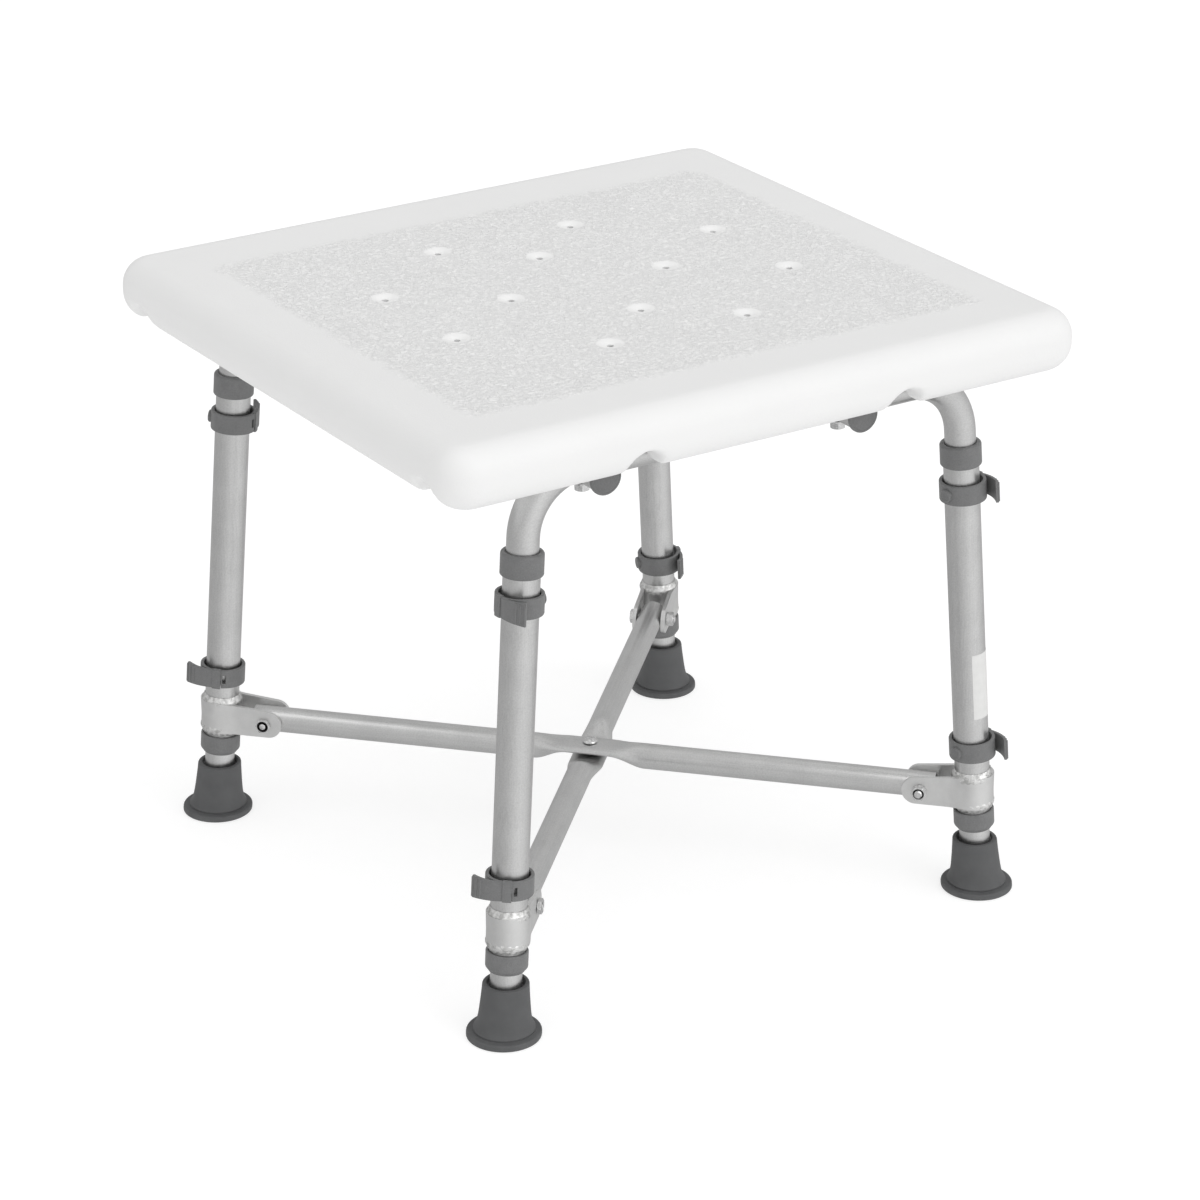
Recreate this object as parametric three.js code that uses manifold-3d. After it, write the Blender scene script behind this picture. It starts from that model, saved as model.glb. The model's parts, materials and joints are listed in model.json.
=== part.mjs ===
// A shower stool: a hollow moulded seat on two bent-tube arches, four telescoping legs and two crossed
// braces. Millimetres, +Z up. The origin is on the floor under the middle of the seat. +X runs along the
// seat's longer side and -Y is the front. Heights named "z" are above the floor with the legs at their
// shortest.

import * as THREE from 'three';
import { mergeVertices } from 'three/addons/utils/BufferGeometryUtils.js';
import Module from 'manifold-3d';

const wasm = await Module();
wasm.setup();

// ---------------------------------------------------------------- driving sizes

const gap = 0.3; // between pieces that rest on, or fit into, each other
const reach = 1; // how far a cutting tool runs past the surface it opens

const seat = {
  width: 514,
  depth: 477,
  top: 446,
  thickness: 45,
  cornerRadius: 24,
  edgeRadius: 20,
  wall: 3,
};

// The underside channels: the two along X hold the arches, the two along Y are over the cross bars.
const channel = { halfWidth: 14, height: 13.4, roofRadius: 8, lip: 6 };

// One quarter of the drain pattern, mirrored to the other three. A zero stays on its axis.
const drain = {
  quarter: [[56.5, 114], [0, 66], [138.5, 48.5], [65, 0]],
  holeRadius: 2.5,
  dishRadius: 10,
  dishDepth: 2.5,
  columnRadius: 9,
};
const vent = { fromArch: 47.8, radius: 2.5 };

const tubeWall = 1.2;
const slideClearance = 0.4; // between a leg and the tubes that slide in it
const arch = { fromSide: 40.7, fromEnd: 79.9, bendRadius: 45, stubLength: 141 };
const splay = { alongX: 3.82, alongY: 1.39 }; // how far each leg leans out, in degrees

const crossBar = { radius: 11.1, x: 106, drop: 21, shortOfArch: 14.8 };
const crossBarPad = { width: 9, start: 10, slope: 25, rise: 0.5 };
const crossBarCap = { overhang: 1.1, rim: 2, dome: 1, round: 1, plugLength: 12 };
const seatBolt = { fromArch: 42.8, radius: 3, flangeRadius: 7.5, flange: 1.5, head: 5, acrossCorners: 11.5 };
const boss = { radius: 9, insertRadius: 5, insertLength: 11, insertStart: 9.6 };

const leg = { radius: 12.7, bottom: 52.3, topBelowArch: 54 };
const collar = { wall: 2.1, height: 16.5, lip: 2.7, chamfer: 2 };
const lowerCollar = { bottom: 49.5, height: 15 };
const upperCollarBelowArch = 51;
const clip = {
  looseness: 1.5,
  wall: 2.8,
  height: 14.5,
  slack: 0.9,
  buttonRadius: 4.5,
  buttonProud: 2,
  pinRadius: 2.9,
  pinPastTube: 1,
  tabSweep: 70,
  tabRise: 11,
  tabCurl: 1.5,
  slotSweep: 18,
  slotHeight: 7.25,
};
const lowerPinHeight = 114.3;
const upperPinBelowArch = 86.8;

const footTube = { bottom: 8.3, aboveTopHole: 20, belowStub: 12, holeRadius: 3.3, pitch: 12.7 };
const foot = {
  flangeRadius: 26.15,
  flangeHeight: 5,
  flangeChamfer: 1,
  stepWidth: 4.65,
  stepRise: 0.6,
  stepHeight: 3,
  stepTaper: 0.8,
  waistHeight: 6,
  waistFlare: 2.3,
  middleFlare: 0.6,
  topWall: 5.2,
  height: 40,
  mouthClearance: 2.3,
  mouthDepth: 3,
};

const bracket = {
  z: 79,
  sleeveWall: 2.3,
  sleeveBottom: 68.5,
  sleeveTop: 94,
  weld: 2.5,
  weldEdge: 0.6,
  earThickness: 3,
  earHeight: 20.6,
  earRise: 4.4,
  boltFromLeg: 37.3,
  earPastBolt: 3,
};
const brace = {
  radius: 9.525,
  overhang: 10,
  flatHalfLength: 16,
  flatTransition: 26,
  flatHalfWidth: 13,
  flatThickness: 7,
};
const braceBolt = { radius: 3, holeRadius: 3.3, head: 4, nut: 5, acrossCorners: 11.5, tail: 1.5 };
const rivet = { radius: 3, headRadius: 5.5, headHeight: 3.2, crownRadius: 3.3, crownHeight: 2.7 };

// Each leg's side of the stool, and for its two clips the pin's direction seen from above, in degrees,
// and which way the finger tab sweeps round: 1 is anticlockwise.
const legs = [
  { name: 'front_left', side: [-1, -1], upper: { pin: 0, tab: 1 }, lower: { pin: 52, tab: -1 } },
  { name: 'rear_left', side: [-1, 1], upper: { pin: 138, tab: 1 }, lower: { pin: 45, tab: -1 } },
  { name: 'front_right', side: [1, -1], upper: { pin: -170, tab: -1 }, lower: { pin: -170, tab: -1 } },
  { name: 'rear_right', side: [1, 1], upper: { pin: -170, tab: -1 }, lower: { pin: 162, tab: -1 } },
];

// How finely round shapes are divided.
const sides = { tube: 16, small: 8, cap: 12, hex: 6 };
const steps = { bend: 5, seatCorner: 5, seatEdge: 4, hollow: 2, channelCurve: 2, earEnd: 3, tab: 5 };

// ---------------------------------------------------------------- sizes worked out from those

const radians = THREE.MathUtils.degToRad;
const innerTube = leg.radius - tubeWall - slideClearance; // the arch stubs' and the foot tubes' radius
const seatBottom = seat.top - seat.thickness;
const channelRoof = seatBottom + channel.height;
const archZ = channelRoof - gap - innerTube;
const archY = seat.depth / 2 - arch.fromSide;
const archHalfSpan = seat.width / 2 - arch.fromEnd;
const lean = { x: Math.tan(radians(splay.alongX)), y: Math.tan(radians(splay.alongY)) };
const footX = archHalfSpan + archZ * lean.x;
const footY = archY + archZ * lean.y;
const perHeight = Math.hypot(1, lean.x, lean.y); // length along a leg for each millimetre of height

const barZ = archZ - crossBar.drop;
const barHalfLength = archY - crossBar.shortOfArch;
const boltY = archY - seatBolt.fromArch;
const ventY = archY - vent.fromArch;
const stubBottom = archZ - arch.stubLength;
const upperPinHeight = archZ - upperPinBelowArch;
const holeSpan = stubBottom - footTube.belowStub - footTube.aboveTopHole - lowerPinHeight;
const holeSteps = Math.floor(holeSpan / footTube.pitch);
const footTubeTop = lowerPinHeight + holeSteps * footTube.pitch + footTube.aboveTopHole;
const earGap = brace.radius + gap; // from the brace's middle to an ear's inner face
const braceLift = (brace.flatThickness + gap) / 2; // from the crossing to the middle of a brace's flat

const finish = {
  seat: new THREE.MeshStandardMaterial({ color: 0xeeeeec, roughness: 0.5, metalness: 0 }),
  aluminium: new THREE.MeshStandardMaterial({ color: 0xb9bab9, roughness: 0.38, metalness: 1 }),
  bracket: new THREE.MeshStandardMaterial({ color: 0xa9aaa9, roughness: 0.45, metalness: 1 }),
  grayPlastic: new THREE.MeshStandardMaterial({ color: 0x6b6c6c, roughness: 0.5, metalness: 0 }),
  rubber: new THREE.MeshStandardMaterial({ color: 0x595a5b, roughness: 0.75, metalness: 0 }),
  steel: new THREE.MeshStandardMaterial({ color: 0xc9cacc, roughness: 0.25, metalness: 1 }),
  brass: new THREE.MeshStandardMaterial({ color: 0xb08d57, roughness: 0.4, metalness: 1 }),
};

// ---------------------------------------------------------------- solids

// A three.js geometry as a solid that can be joined and cut, moved by a matrix where one is given.
function solid(geometry, matrix) {
  const bare = geometry.clone();
  bare.deleteAttribute('normal');
  bare.deleteAttribute('uv');
  if (matrix) bare.applyMatrix4(matrix);
  const merged = mergeVertices(bare, 1e-4);
  const corners = merged.index.array;
  const triangles = [];
  for (let k = 0; k < corners.length; k += 3) {
    const [a, b, c] = [corners[k], corners[k + 1], corners[k + 2]];
    if (a !== b && b !== c && c !== a) triangles.push(a, b, c);
  }
  return new wasm.Manifold(new wasm.Mesh({
    numProp: 3,
    vertProperties: Float32Array.from(merged.attributes.position.array),
    triVerts: Uint32Array.from(triangles),
  }));
}

const join = (first, ...others) => others.reduce((whole, piece) => whole.add(piece), first);
const cut = (first, ...tools) => tools.reduce((whole, tool) => whole.subtract(tool), first);

function piece(name, shape, material) {
  const { vertProperties, triVerts } = shape.getMesh();
  const geometry = new THREE.BufferGeometry();
  geometry.setAttribute('position', new THREE.BufferAttribute(vertProperties, 3));
  geometry.setIndex(new THREE.BufferAttribute(triVerts, 1));
  geometry.computeVertexNormals();
  const mesh = new THREE.Mesh(geometry, material);
  mesh.name = name;
  return mesh;
}

// A shape turned about Z. The profile is [radius, z] points that start and end on the axis or close on
// themselves, with the outer side going up.
function turned(profile, count = sides.tube) {
  const points = profile.map(([radius, z]) => new THREE.Vector2(radius, z));
  return new THREE.LatheGeometry(points, count).rotateX(Math.PI / 2);
}

const rod = (radius, low, high, count = sides.tube) =>
  turned([[0, low], [radius, low], [radius, high], [0, high]], count);

const ring = (inner, outer, low, high, count = sides.tube) =>
  turned([[inner, low], [outer, low], [outer, high], [inner, high], [inner, low]], count);

const block = (x0, x1, y0, y1, z0, z1) =>
  new THREE.BoxGeometry(x1 - x0, y1 - y0, z1 - z0).translate((x0 + x1) / 2, (y0 + y1) / 2, (z0 + z1) / 2);

// Turns a shape made along Z so that it runs along X or Y instead.
const alongX = (geometry) => geometry.rotateY(Math.PI / 2);
const alongY = (geometry) => geometry.rotateX(-Math.PI / 2);

function circle(radius, count = sides.tube) {
  const points = [];
  for (let k = 0; k < count; k += 1) {
    const angle = (2 * Math.PI * k) / count;
    points.push(new THREE.Vector2(radius * Math.cos(angle), radius * Math.sin(angle)));
  }
  return points;
}

// A tube's centre line as stations, each a point and a direction. Its sections fall on the stations.
class Stations extends THREE.Curve {
  constructor(stations) {
    super();
    this.stations = stations;
  }

  getUtoTmapping(u) {
    return u;
  }

  station(t) {
    return this.stations[Math.round(t * (this.stations.length - 1))];
  }

  getPoint(t, target = new THREE.Vector3()) {
    return target.copy(this.station(t).point);
  }

  getTangent(t, target = new THREE.Vector3()) {
    return target.copy(this.station(t).direction);
  }
}

function hollowTube(stations, radius, wall = tubeWall) {
  const section = new THREE.Shape(circle(radius));
  section.holes.push(new THREE.Path(circle(radius - wall).reverse()));
  return new THREE.ExtrudeGeometry(section, {
    steps: stations.length - 1,
    extrudePath: new Stations(stations),
  });
}

// Stations of a line that turns at each inner corner with one bend radius.
function bentLine(corners, bendRadius) {
  const stations = [];
  const add = (point, direction) => stations.push({ point: point.clone(), direction: direction.clone() });
  let along = corners[1].clone().sub(corners[0]).normalize();
  add(corners[0], along);
  for (let k = 1; k < corners.length - 1; k += 1) {
    const next = corners[k + 1].clone().sub(corners[k]).normalize();
    const turn = along.angleTo(next);
    const axis = along.clone().cross(next).normalize();
    const inward = axis.clone().cross(along);
    const start = corners[k].clone().addScaledVector(along, -bendRadius * Math.tan(turn / 2));
    const centre = start.clone().addScaledVector(inward, bendRadius);
    for (let s = 0; s <= steps.bend; s += 1) {
      const angle = (turn * s) / steps.bend;
      const spoke = inward.clone().multiplyScalar(-bendRadius).applyAxisAngle(axis, angle);
      add(centre.clone().add(spoke), along.clone().applyAxisAngle(axis, angle));
    }
    along = next;
  }
  add(corners[corners.length - 1], along);
  return stations;
}

// ---------------------------------------------------------------- where things are

function frameAt(x, y, z, quaternion = new THREE.Quaternion()) {
  return new THREE.Matrix4().compose(new THREE.Vector3(x, y, z), quaternion, new THREE.Vector3(1, 1, 1));
}

// A leg's frame: its origin is on the floor, on the leg's axis, and +Z runs up the leg.
function legFrame([sx, sy]) {
  const up = new THREE.Vector3(-sx * lean.x, -sy * lean.y, 1).normalize();
  const turn = new THREE.Quaternion().setFromUnitVectors(new THREE.Vector3(0, 0, 1), up);
  return frameAt(sx * footX, sy * footY, 0, turn);
}

// An arch's frame: its origin is at the middle of the straight run, and its plane leans with the legs.
function archFrame(sy) {
  const turn = new THREE.Quaternion().setFromAxisAngle(new THREE.Vector3(1, 0, 0), sy * Math.atan(lean.y));
  return frameAt(0, sy * archY, archZ, turn);
}

// A brace corner's frame: level, on the leg's axis at the braces' height, with +X to the stool's middle.
const cornerX = footX - bracket.z * lean.x;
const cornerY = footY - bracket.z * lean.y;
const cornerToMiddle = Math.hypot(cornerX, cornerY);

function cornerFrame([sx, sy]) {
  const turn = new THREE.Quaternion().setFromAxisAngle(
    new THREE.Vector3(0, 0, 1),
    Math.atan2(-sy * cornerY, -sx * cornerX),
  );
  return frameAt(sx * cornerX, sy * cornerY, bracket.z, turn);
}

const between = (from, to) => to.clone().invert().multiply(from);
const upLeg = (z) => z * perHeight;

// ---------------------------------------------------------------- seat

function roundedRectangle(halfX, halfY, radius, cornerSteps) {
  const points = [];
  const corners = [[1, 1, 0], [-1, 1, 90], [-1, -1, 180], [1, -1, 270]];
  for (const [sx, sy, start] of corners) {
    for (let s = 0; s <= cornerSteps; s += 1) {
      const angle = radians(start + (90 * s) / cornerSteps);
      const x = sx * (halfX - radius) + radius * Math.cos(angle);
      const y = sy * (halfY - radius) + radius * Math.sin(angle);
      points.push(new THREE.Vector2(x, y));
    }
  }
  return new THREE.Shape(points);
}

// A slab with a rounded rim, inset all round from the seat's outer surface.
function slab(inset, cornerSteps, edgeSteps) {
  const rim = seat.edgeRadius - inset;
  const [halfX, halfY] = [seat.width / 2 - inset, seat.depth / 2 - inset];
  const outline = roundedRectangle(halfX, halfY, seat.cornerRadius - inset, cornerSteps);
  const flat = seat.thickness - 2 * seat.edgeRadius;
  const shape = new THREE.ExtrudeGeometry(outline, {
    depth: flat,
    bevelThickness: rim,
    bevelSize: rim,
    bevelOffset: -rim,
    bevelSegments: edgeSteps,
  });
  return shape.translate(0, 0, seatBottom + seat.edgeRadius);
}

function channelTool(halfLength, grow) {
  const side = channel.halfWidth + grow;
  const roof = channel.height + grow;
  const mouth = side + channel.lip;
  const section = new THREE.Shape();
  section.moveTo(mouth, -reach);
  section.lineTo(mouth, 0);
  section.quadraticCurveTo(side, 0, side, channel.lip);
  section.lineTo(side, roof - channel.roofRadius);
  section.quadraticCurveTo(side, roof, side - channel.roofRadius, roof);
  section.lineTo(channel.roofRadius - side, roof);
  section.quadraticCurveTo(-side, roof, -side, roof - channel.roofRadius);
  section.lineTo(-side, channel.lip);
  section.quadraticCurveTo(-side, 0, -mouth, 0);
  section.lineTo(-mouth, -reach);
  const shape = new THREE.ExtrudeGeometry(section, {
    depth: 2 * halfLength,
    bevelEnabled: false,
    curveSegments: steps.channelCurve,
  });
  return shape.translate(0, 0, -halfLength).rotateX(Math.PI / 2);
}

function channels(grow) {
  const acrossTool = channelTool(seat.depth / 2 + reach, grow);
  const alongTool = channelTool(seat.width / 2 + reach, grow).rotateZ(Math.PI / 2);
  const tools = [];
  for (const s of [-1, 1]) {
    tools.push(solid(acrossTool, frameAt(s * crossBar.x, 0, seatBottom)));
    tools.push(solid(alongTool, frameAt(0, s * archY, seatBottom)));
  }
  return tools;
}

function mirrored(quarter) {
  const places = [];
  for (const [x, y] of quarter) {
    for (const sx of x ? [-1, 1] : [1]) {
      for (const sy of y ? [-1, 1] : [1]) places.push([sx * x, sy * y]);
    }
  }
  return places;
}

function seatSolid() {
  const drains = mirrored(drain.quarter);
  const bolts = mirrored([[crossBar.x, boltY]]);
  const floor = seat.top - drain.dishDepth;
  const column = rod(drain.columnRadius, seatBottom, seat.top, sides.small);
  const drainTool = turned([
    [0, seatBottom - reach],
    [drain.holeRadius, seatBottom - reach],
    [drain.holeRadius, floor],
    [drain.dishRadius, seat.top],
    [drain.dishRadius, seat.top + reach],
    [0, seat.top + reach],
  ], sides.small);

  const hollow = cut(
    solid(slab(seat.wall, steps.hollow, steps.hollow)),
    ...channels(seat.wall),
    ...drains.map(([x, y]) => solid(column, frameAt(x, y, 0))),
  );
  const ventTool = rod(vent.radius, seatBottom - reach, seatBottom + seat.wall + reach, sides.small);
  const shell = cut(
    solid(slab(0, steps.seatCorner, steps.seatEdge)),
    ...channels(0),
    hollow,
    ...drains.map(([x, y]) => solid(drainTool, frameAt(x, y, 0))),
    solid(ventTool, frameAt(0, ventY, 0)),
  );

  const bossBottom = barZ;
  const insertBottom = barZ + crossBar.radius + boss.insertStart;
  const bossShape = rod(boss.radius, bossBottom, channelRoof + seat.wall / 2, sides.cap);
  const boltTool = rod(seatBolt.radius + gap, bossBottom - reach, insertBottom + gap, sides.small);
  const insertTool = rod(
    boss.insertRadius + gap,
    insertBottom - gap,
    insertBottom + boss.insertLength + gap,
    sides.cap,
  );
  const saddle = alongY(rod(crossBar.radius + gap, -barHalfLength, barHalfLength));
  return cut(
    join(shell, ...bolts.map(([x, y]) => solid(bossShape, frameAt(x, y, 0)))),
    ...bolts.map(([x, y]) => solid(boltTool, frameAt(x, y, 0))),
    ...bolts.map(([x, y]) => solid(insertTool, frameAt(x, y, 0))),
    ...[-1, 1].map((s) => solid(saddle, frameAt(s * crossBar.x, 0, barZ))),
  );
}

// ---------------------------------------------------------------- what holds the seat

function pinHole(pinHeight, pinAngle) {
  const hole = alongX(rod(footTube.holeRadius, 0, leg.radius + reach, sides.small));
  return hole.rotateZ(radians(pinAngle)).translate(0, 0, upLeg(pinHeight));
}

function archSolid(sy) {
  const down = arch.stubLength * Math.hypot(1, lean.y);
  const stubX = archHalfSpan + arch.stubLength * lean.x;
  const corners = [
    new THREE.Vector3(-stubX, 0, -down),
    new THREE.Vector3(-archHalfSpan, 0, 0),
    new THREE.Vector3(archHalfSpan, 0, 0),
    new THREE.Vector3(stubX, 0, -down),
  ];
  const tube = solid(hollowTube(bentLine(corners, arch.bendRadius), innerTube));
  const holes = legs.filter((one) => one.side[1] === sy).map((one) =>
    solid(pinHole(upperPinHeight, one.upper.pin), between(legFrame(one.side), archFrame(sy))));
  return cut(tube, ...holes);
}

// The weld that joins a cross bar's end to the arch above it, at the bar's +Y end before it is turned.
function barPadSolid(turn) {
  const { width, start, slope, rise } = crossBarPad;
  const first = barHalfLength - start;
  const at = (shape, y, z) => solid(shape, turn.clone().multiply(frameAt(0, y, z)));
  const above = block(-width, width, -archY, archY, 0, 2 * crossBar.drop).rotateX(radians(slope));
  const cap = rod(crossBar.radius + crossBarCap.overhang + gap, barHalfLength, archY);
  return cut(
    at(block(-width / 2, width / 2, first, archY - innerTube / 2, 0, crossBar.drop), 0, 0),
    at(alongY(rod(crossBar.radius - tubeWall / 2, 0, archY)), 0, 0),
    at(alongX(rod(innerTube + gap, -width, width)), archY, crossBar.drop),
    at(above, first, crossBar.radius + rise),
    at(alongY(cap), 0, 0),
  );
}

// A cross bar lies along Y, with a hole through it for each seat bolt.
function crossBarSolid() {
  const bar = alongY(ring(crossBar.radius - tubeWall, crossBar.radius, -barHalfLength, barHalfLength));
  const hole = rod(seatBolt.radius + gap, -crossBar.radius - reach, crossBar.radius + reach, sides.small);
  const pads = [0, Math.PI].map((angle) => barPadSolid(new THREE.Matrix4().makeRotationZ(angle)));
  const holes = [-1, 1].map((s) => solid(hole, frameAt(0, s * boltY, 0)));
  return cut(join(solid(bar), ...pads), ...holes);
}

function crossBarCapSolid() {
  const { overhang, rim, dome, round, plugLength } = crossBarCap;
  const radius = crossBar.radius + overhang;
  const plug = crossBar.radius - tubeWall - gap;
  return solid(turned([
    [0, -plugLength],
    [plug - gap, -plugLength],
    [plug, gap - plugLength],
    [plug, gap],
    [radius, gap],
    [radius, rim],
    [radius - round, rim + dome / 2],
    [radius / 2, rim + dome],
    [0, rim + dome],
  ], sides.cap));
}

function seatBoltSolid() {
  const { radius, flangeRadius, flange, head, acrossCorners } = seatBolt;
  const tip = crossBar.radius + boss.insertStart + boss.insertLength - gap;
  const seating = -crossBar.radius - gap;
  return join(
    solid(rod(radius, seating - flange, tip, sides.small)),
    solid(rod(flangeRadius, seating - flange, seating, sides.cap)),
    solid(rod(acrossCorners / 2, seating - flange - head, seating - flange / 2, sides.hex)),
  );
}

// ---------------------------------------------------------------- legs

function legSolid({ upper, lower }) {
  const tube = ring(leg.radius - tubeWall, leg.radius, upLeg(leg.bottom), upLeg(archZ - leg.topBelowArch));
  return cut(
    solid(tube),
    solid(pinHole(upperPinHeight, upper.pin)),
    solid(pinHole(lowerPinHeight, lower.pin)),
  );
}

// A plastic ferrule on the end of a leg tube. Its lip guides the inner tube, and it is made lip up.
function ferrule(height, taper) {
  const bore = leg.radius + gap;
  const lipBore = innerTube + gap;
  const { wall, lip, chamfer } = collar;
  const radius = leg.radius + wall;
  return turned([
    [bore, 0],
    [radius, chamfer / 2],
    [radius, height - chamfer - taper],
    [radius - chamfer, height],
    [lipBore, height],
    [lipBore, height - lip],
    [bore, height - lip],
    [bore, 0],
  ]);
}

const upperCollarTop = archZ - upperCollarBelowArch;

function upperCollarSolid() {
  return solid(ferrule(collar.height, 0), frameAt(0, 0, upLeg(upperCollarTop) - collar.height));
}

function lowerCollarSolid() {
  const shape = ferrule(lowerCollar.height, collar.chamfer).rotateX(Math.PI);
  return solid(shape, frameAt(0, 0, upLeg(lowerCollar.bottom) + lowerCollar.height));
}

// A strap clip: a plastic ring looser than the tube, with a button and pin towards +X and, from the
// opposite side, a finger tab that sweeps round and stands off the ring.
function clipSolid(tab) {
  const { looseness, wall, height, slack } = clip;
  const inner = leg.radius + looseness;
  const outer = inner + wall;
  const pinTip = innerTube - tubeWall - clip.pinPastTube;
  const strap = ring(inner, outer, -height / 2, height / 2);
  const button = alongX(rod(clip.buttonRadius, inner - slack, outer - slack + clip.buttonProud, sides.cap));
  const pin = alongX(rod(clip.pinRadius, pinTip, outer - slack, sides.small));

  const edge = (offset) => {
    const points = [];
    for (let s = 0; s <= steps.tab; s += 1) {
      const share = s / steps.tab;
      const angle = Math.PI + radians(tab * clip.tabSweep * share);
      const radius = inner + offset + clip.tabRise * share ** clip.tabCurl;
      points.push(new THREE.Vector2(radius * Math.cos(angle) - slack, radius * Math.sin(angle)));
    }
    return points;
  };
  const outline = new THREE.Shape([...edge(wall / 2), ...edge(wall + wall / 2).reverse()]);
  const finger = new THREE.ExtrudeGeometry(outline, { depth: height, bevelEnabled: false });
  const slotHalf = clip.slotHeight / 2;
  const slot = block(inner - reach, outer + reach, -wall / 2, wall / 2, -slotHalf, slotHalf);
  const fingerPlace = frameAt(0, 0, -height / 2);
  return cut(
    join(solid(strap, frameAt(-slack, 0, 0)), solid(button), solid(pin), solid(finger, fingerPlace)),
    solid(slot.rotateZ(radians(180 - tab * clip.slotSweep)), frameAt(-slack, 0, 0)),
  );
}

// Where a clip sits on its leg, with its pin along +X.
function clipFrame(pinHeight, pinAngle) {
  const turn = new THREE.Quaternion().setFromAxisAngle(new THREE.Vector3(0, 0, 1), radians(pinAngle));
  return frameAt(0, 0, upLeg(pinHeight), turn);
}

function footTubeSolid({ lower }) {
  const tube = solid(ring(
    innerTube - tubeWall, innerTube, upLeg(footTube.bottom), upLeg(footTubeTop)));
  const holes = [];
  for (let k = 0; k <= holeSteps; k += 1) {
    holes.push(solid(pinHole(lowerPinHeight + (k * footTube.pitch) / perHeight, lower.pin)));
  }
  return cut(tube, ...holes);
}

// The rubber foot stands flat on the floor, and its body leans with the leg.
function footSolid(side) {
  const { flangeRadius, flangeHeight, height } = foot;
  const stepRadius = flangeRadius - foot.stepWidth;
  const topRadius = innerTube + foot.topWall;
  const waistRadius = topRadius + foot.waistFlare;
  const mouthRadius = innerTube + foot.mouthClearance;
  const body = turned([
    [0, 0],
    [flangeRadius, 0],
    [flangeRadius, flangeHeight - foot.flangeChamfer],
    [stepRadius, flangeHeight + foot.stepRise],
    [stepRadius - foot.stepTaper, flangeHeight + foot.stepHeight],
    [waistRadius, flangeHeight + foot.waistHeight],
    [topRadius + foot.middleFlare, height / 2],
    [topRadius, height],
    [0, height],
  ]);
  const shear = new THREE.Matrix4().makeShear(0, 0, 0, 0, -side[0] * lean.x, -side[1] * lean.y);
  const turn = legFrame(side).setPosition(0, 0, 0);
  const past = upLeg(height) + topRadius;
  const bore = rod(innerTube + gap, upLeg(footTube.bottom) - gap, past);
  const mouth = rod(mouthRadius, upLeg(height - foot.mouthDepth), past);
  return cut(solid(body, shear), solid(bore, turn), solid(mouth, turn));
}

// ---------------------------------------------------------------- braces

// A sleeve welded round the leg, with two level ears that hold a brace between them.
function bracketSolid({ side }) {
  const { sleeveWall, sleeveBottom, sleeveTop, weld, weldEdge } = bracket;
  const { earThickness, earHeight, earRise } = bracket;
  const sleeveRadius = leg.radius + sleeveWall;
  const toCorner = between(legFrame(side), cornerFrame(side));
  const bore = leg.radius + gap;
  const [low, high] = [upLeg(sleeveBottom), upLeg(sleeveTop)];
  const sleeve = turned([
    [bore, low - weld],
    [bore + weldEdge, low - weld],
    [sleeveRadius, low],
    [sleeveRadius, high],
    [bore + weldEdge, high + weld],
    [bore, high + weld],
    [bore, low - weld],
  ]);
  const half = earHeight / 2;
  const start = bore / 2;
  const end = bracket.boltFromLeg + bracket.earPastBolt;
  const outline = new THREE.Shape();
  outline.moveTo(start, -half);
  outline.lineTo(end, -half);
  outline.absarc(end, 0, half, -Math.PI / 2, Math.PI / 2, false);
  outline.lineTo(start, half + earRise);
  const ear = new THREE.ExtrudeGeometry(outline, {
    depth: earThickness,
    bevelEnabled: false,
    curveSegments: steps.earEnd,
  }).rotateX(Math.PI / 2);
  const boltTool = alongY(rod(braceBolt.holeRadius, -sleeveRadius, sleeveRadius, sides.small));
  return cut(
    join(
      solid(sleeve, toCorner),
      solid(ear, frameAt(0, -earGap, 0)),
      solid(ear, frameAt(0, earGap + earThickness, 0)),
    ),
    solid(rod(bore, low - weld - reach, high + weld + reach), toCorner),
    solid(boltTool, frameAt(bracket.boltFromLeg, 0, 0)),
  );
}

// A brace is a straight tube pressed flat over its middle, where it is set up or down to pass the other.
function braceSolid(lift) {
  const halfLength = cornerToMiddle - bracket.boltFromLeg + brace.overhang;
  const along = new THREE.Vector3(1, 0, 0);
  const { flatHalfLength, flatTransition, flatHalfWidth, flatThickness } = brace;
  const reaches = [0, 1 / 3, 2 / 3, 1].map((share) => flatHalfLength + flatTransition * share);
  const places = [halfLength, ...reaches.reverse()];
  const stations = [...places.map((x) => -x), ...places.reverse()].map((x) => ({
    point: new THREE.Vector3(x, 0, 0),
    direction: along,
  }));
  const shape = hollowTube(stations, brace.radius);
  const spot = shape.attributes.position;
  for (let k = 0; k < spot.count; k += 1) {
    const [x, y, z] = [spot.getX(k), spot.getY(k), spot.getZ(k)];
    const round = THREE.MathUtils.smoothstep(Math.abs(x), flatHalfLength, flatHalfLength + flatTransition);
    const depth = brace.radius - Math.hypot(y, z);
    const angle = Math.atan2(z, y);
    const wide = (flatHalfWidth - depth) * Math.cos(angle);
    const thin = (flatThickness / 2 - depth) * Math.sin(angle);
    spot.setY(k, THREE.MathUtils.lerp(wide, y, round));
    spot.setZ(k, THREE.MathUtils.lerp(thin + lift, z, round));
  }
  const past = brace.radius + reach;
  const boltTool = alongY(rod(braceBolt.holeRadius, -past, past, sides.small));
  const boltX = cornerToMiddle - bracket.boltFromLeg;
  return cut(
    solid(shape),
    solid(rod(rivet.radius + gap, -brace.radius, brace.radius, sides.small)),
    ...[-1, 1].map((s) => solid(boltTool, frameAt(s * boltX, 0, 0))),
  );
}

const earOuter = earGap + bracket.earThickness;

function braceBoltSolid() {
  const { radius, head, nut, acrossCorners, tail } = braceBolt;
  const seating = earOuter + gap;
  return join(
    solid(alongY(rod(radius, -seating, seating + nut + tail, sides.small))),
    solid(alongY(rod(acrossCorners / 2, -seating - head, -seating, sides.hex))),
  );
}

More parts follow.
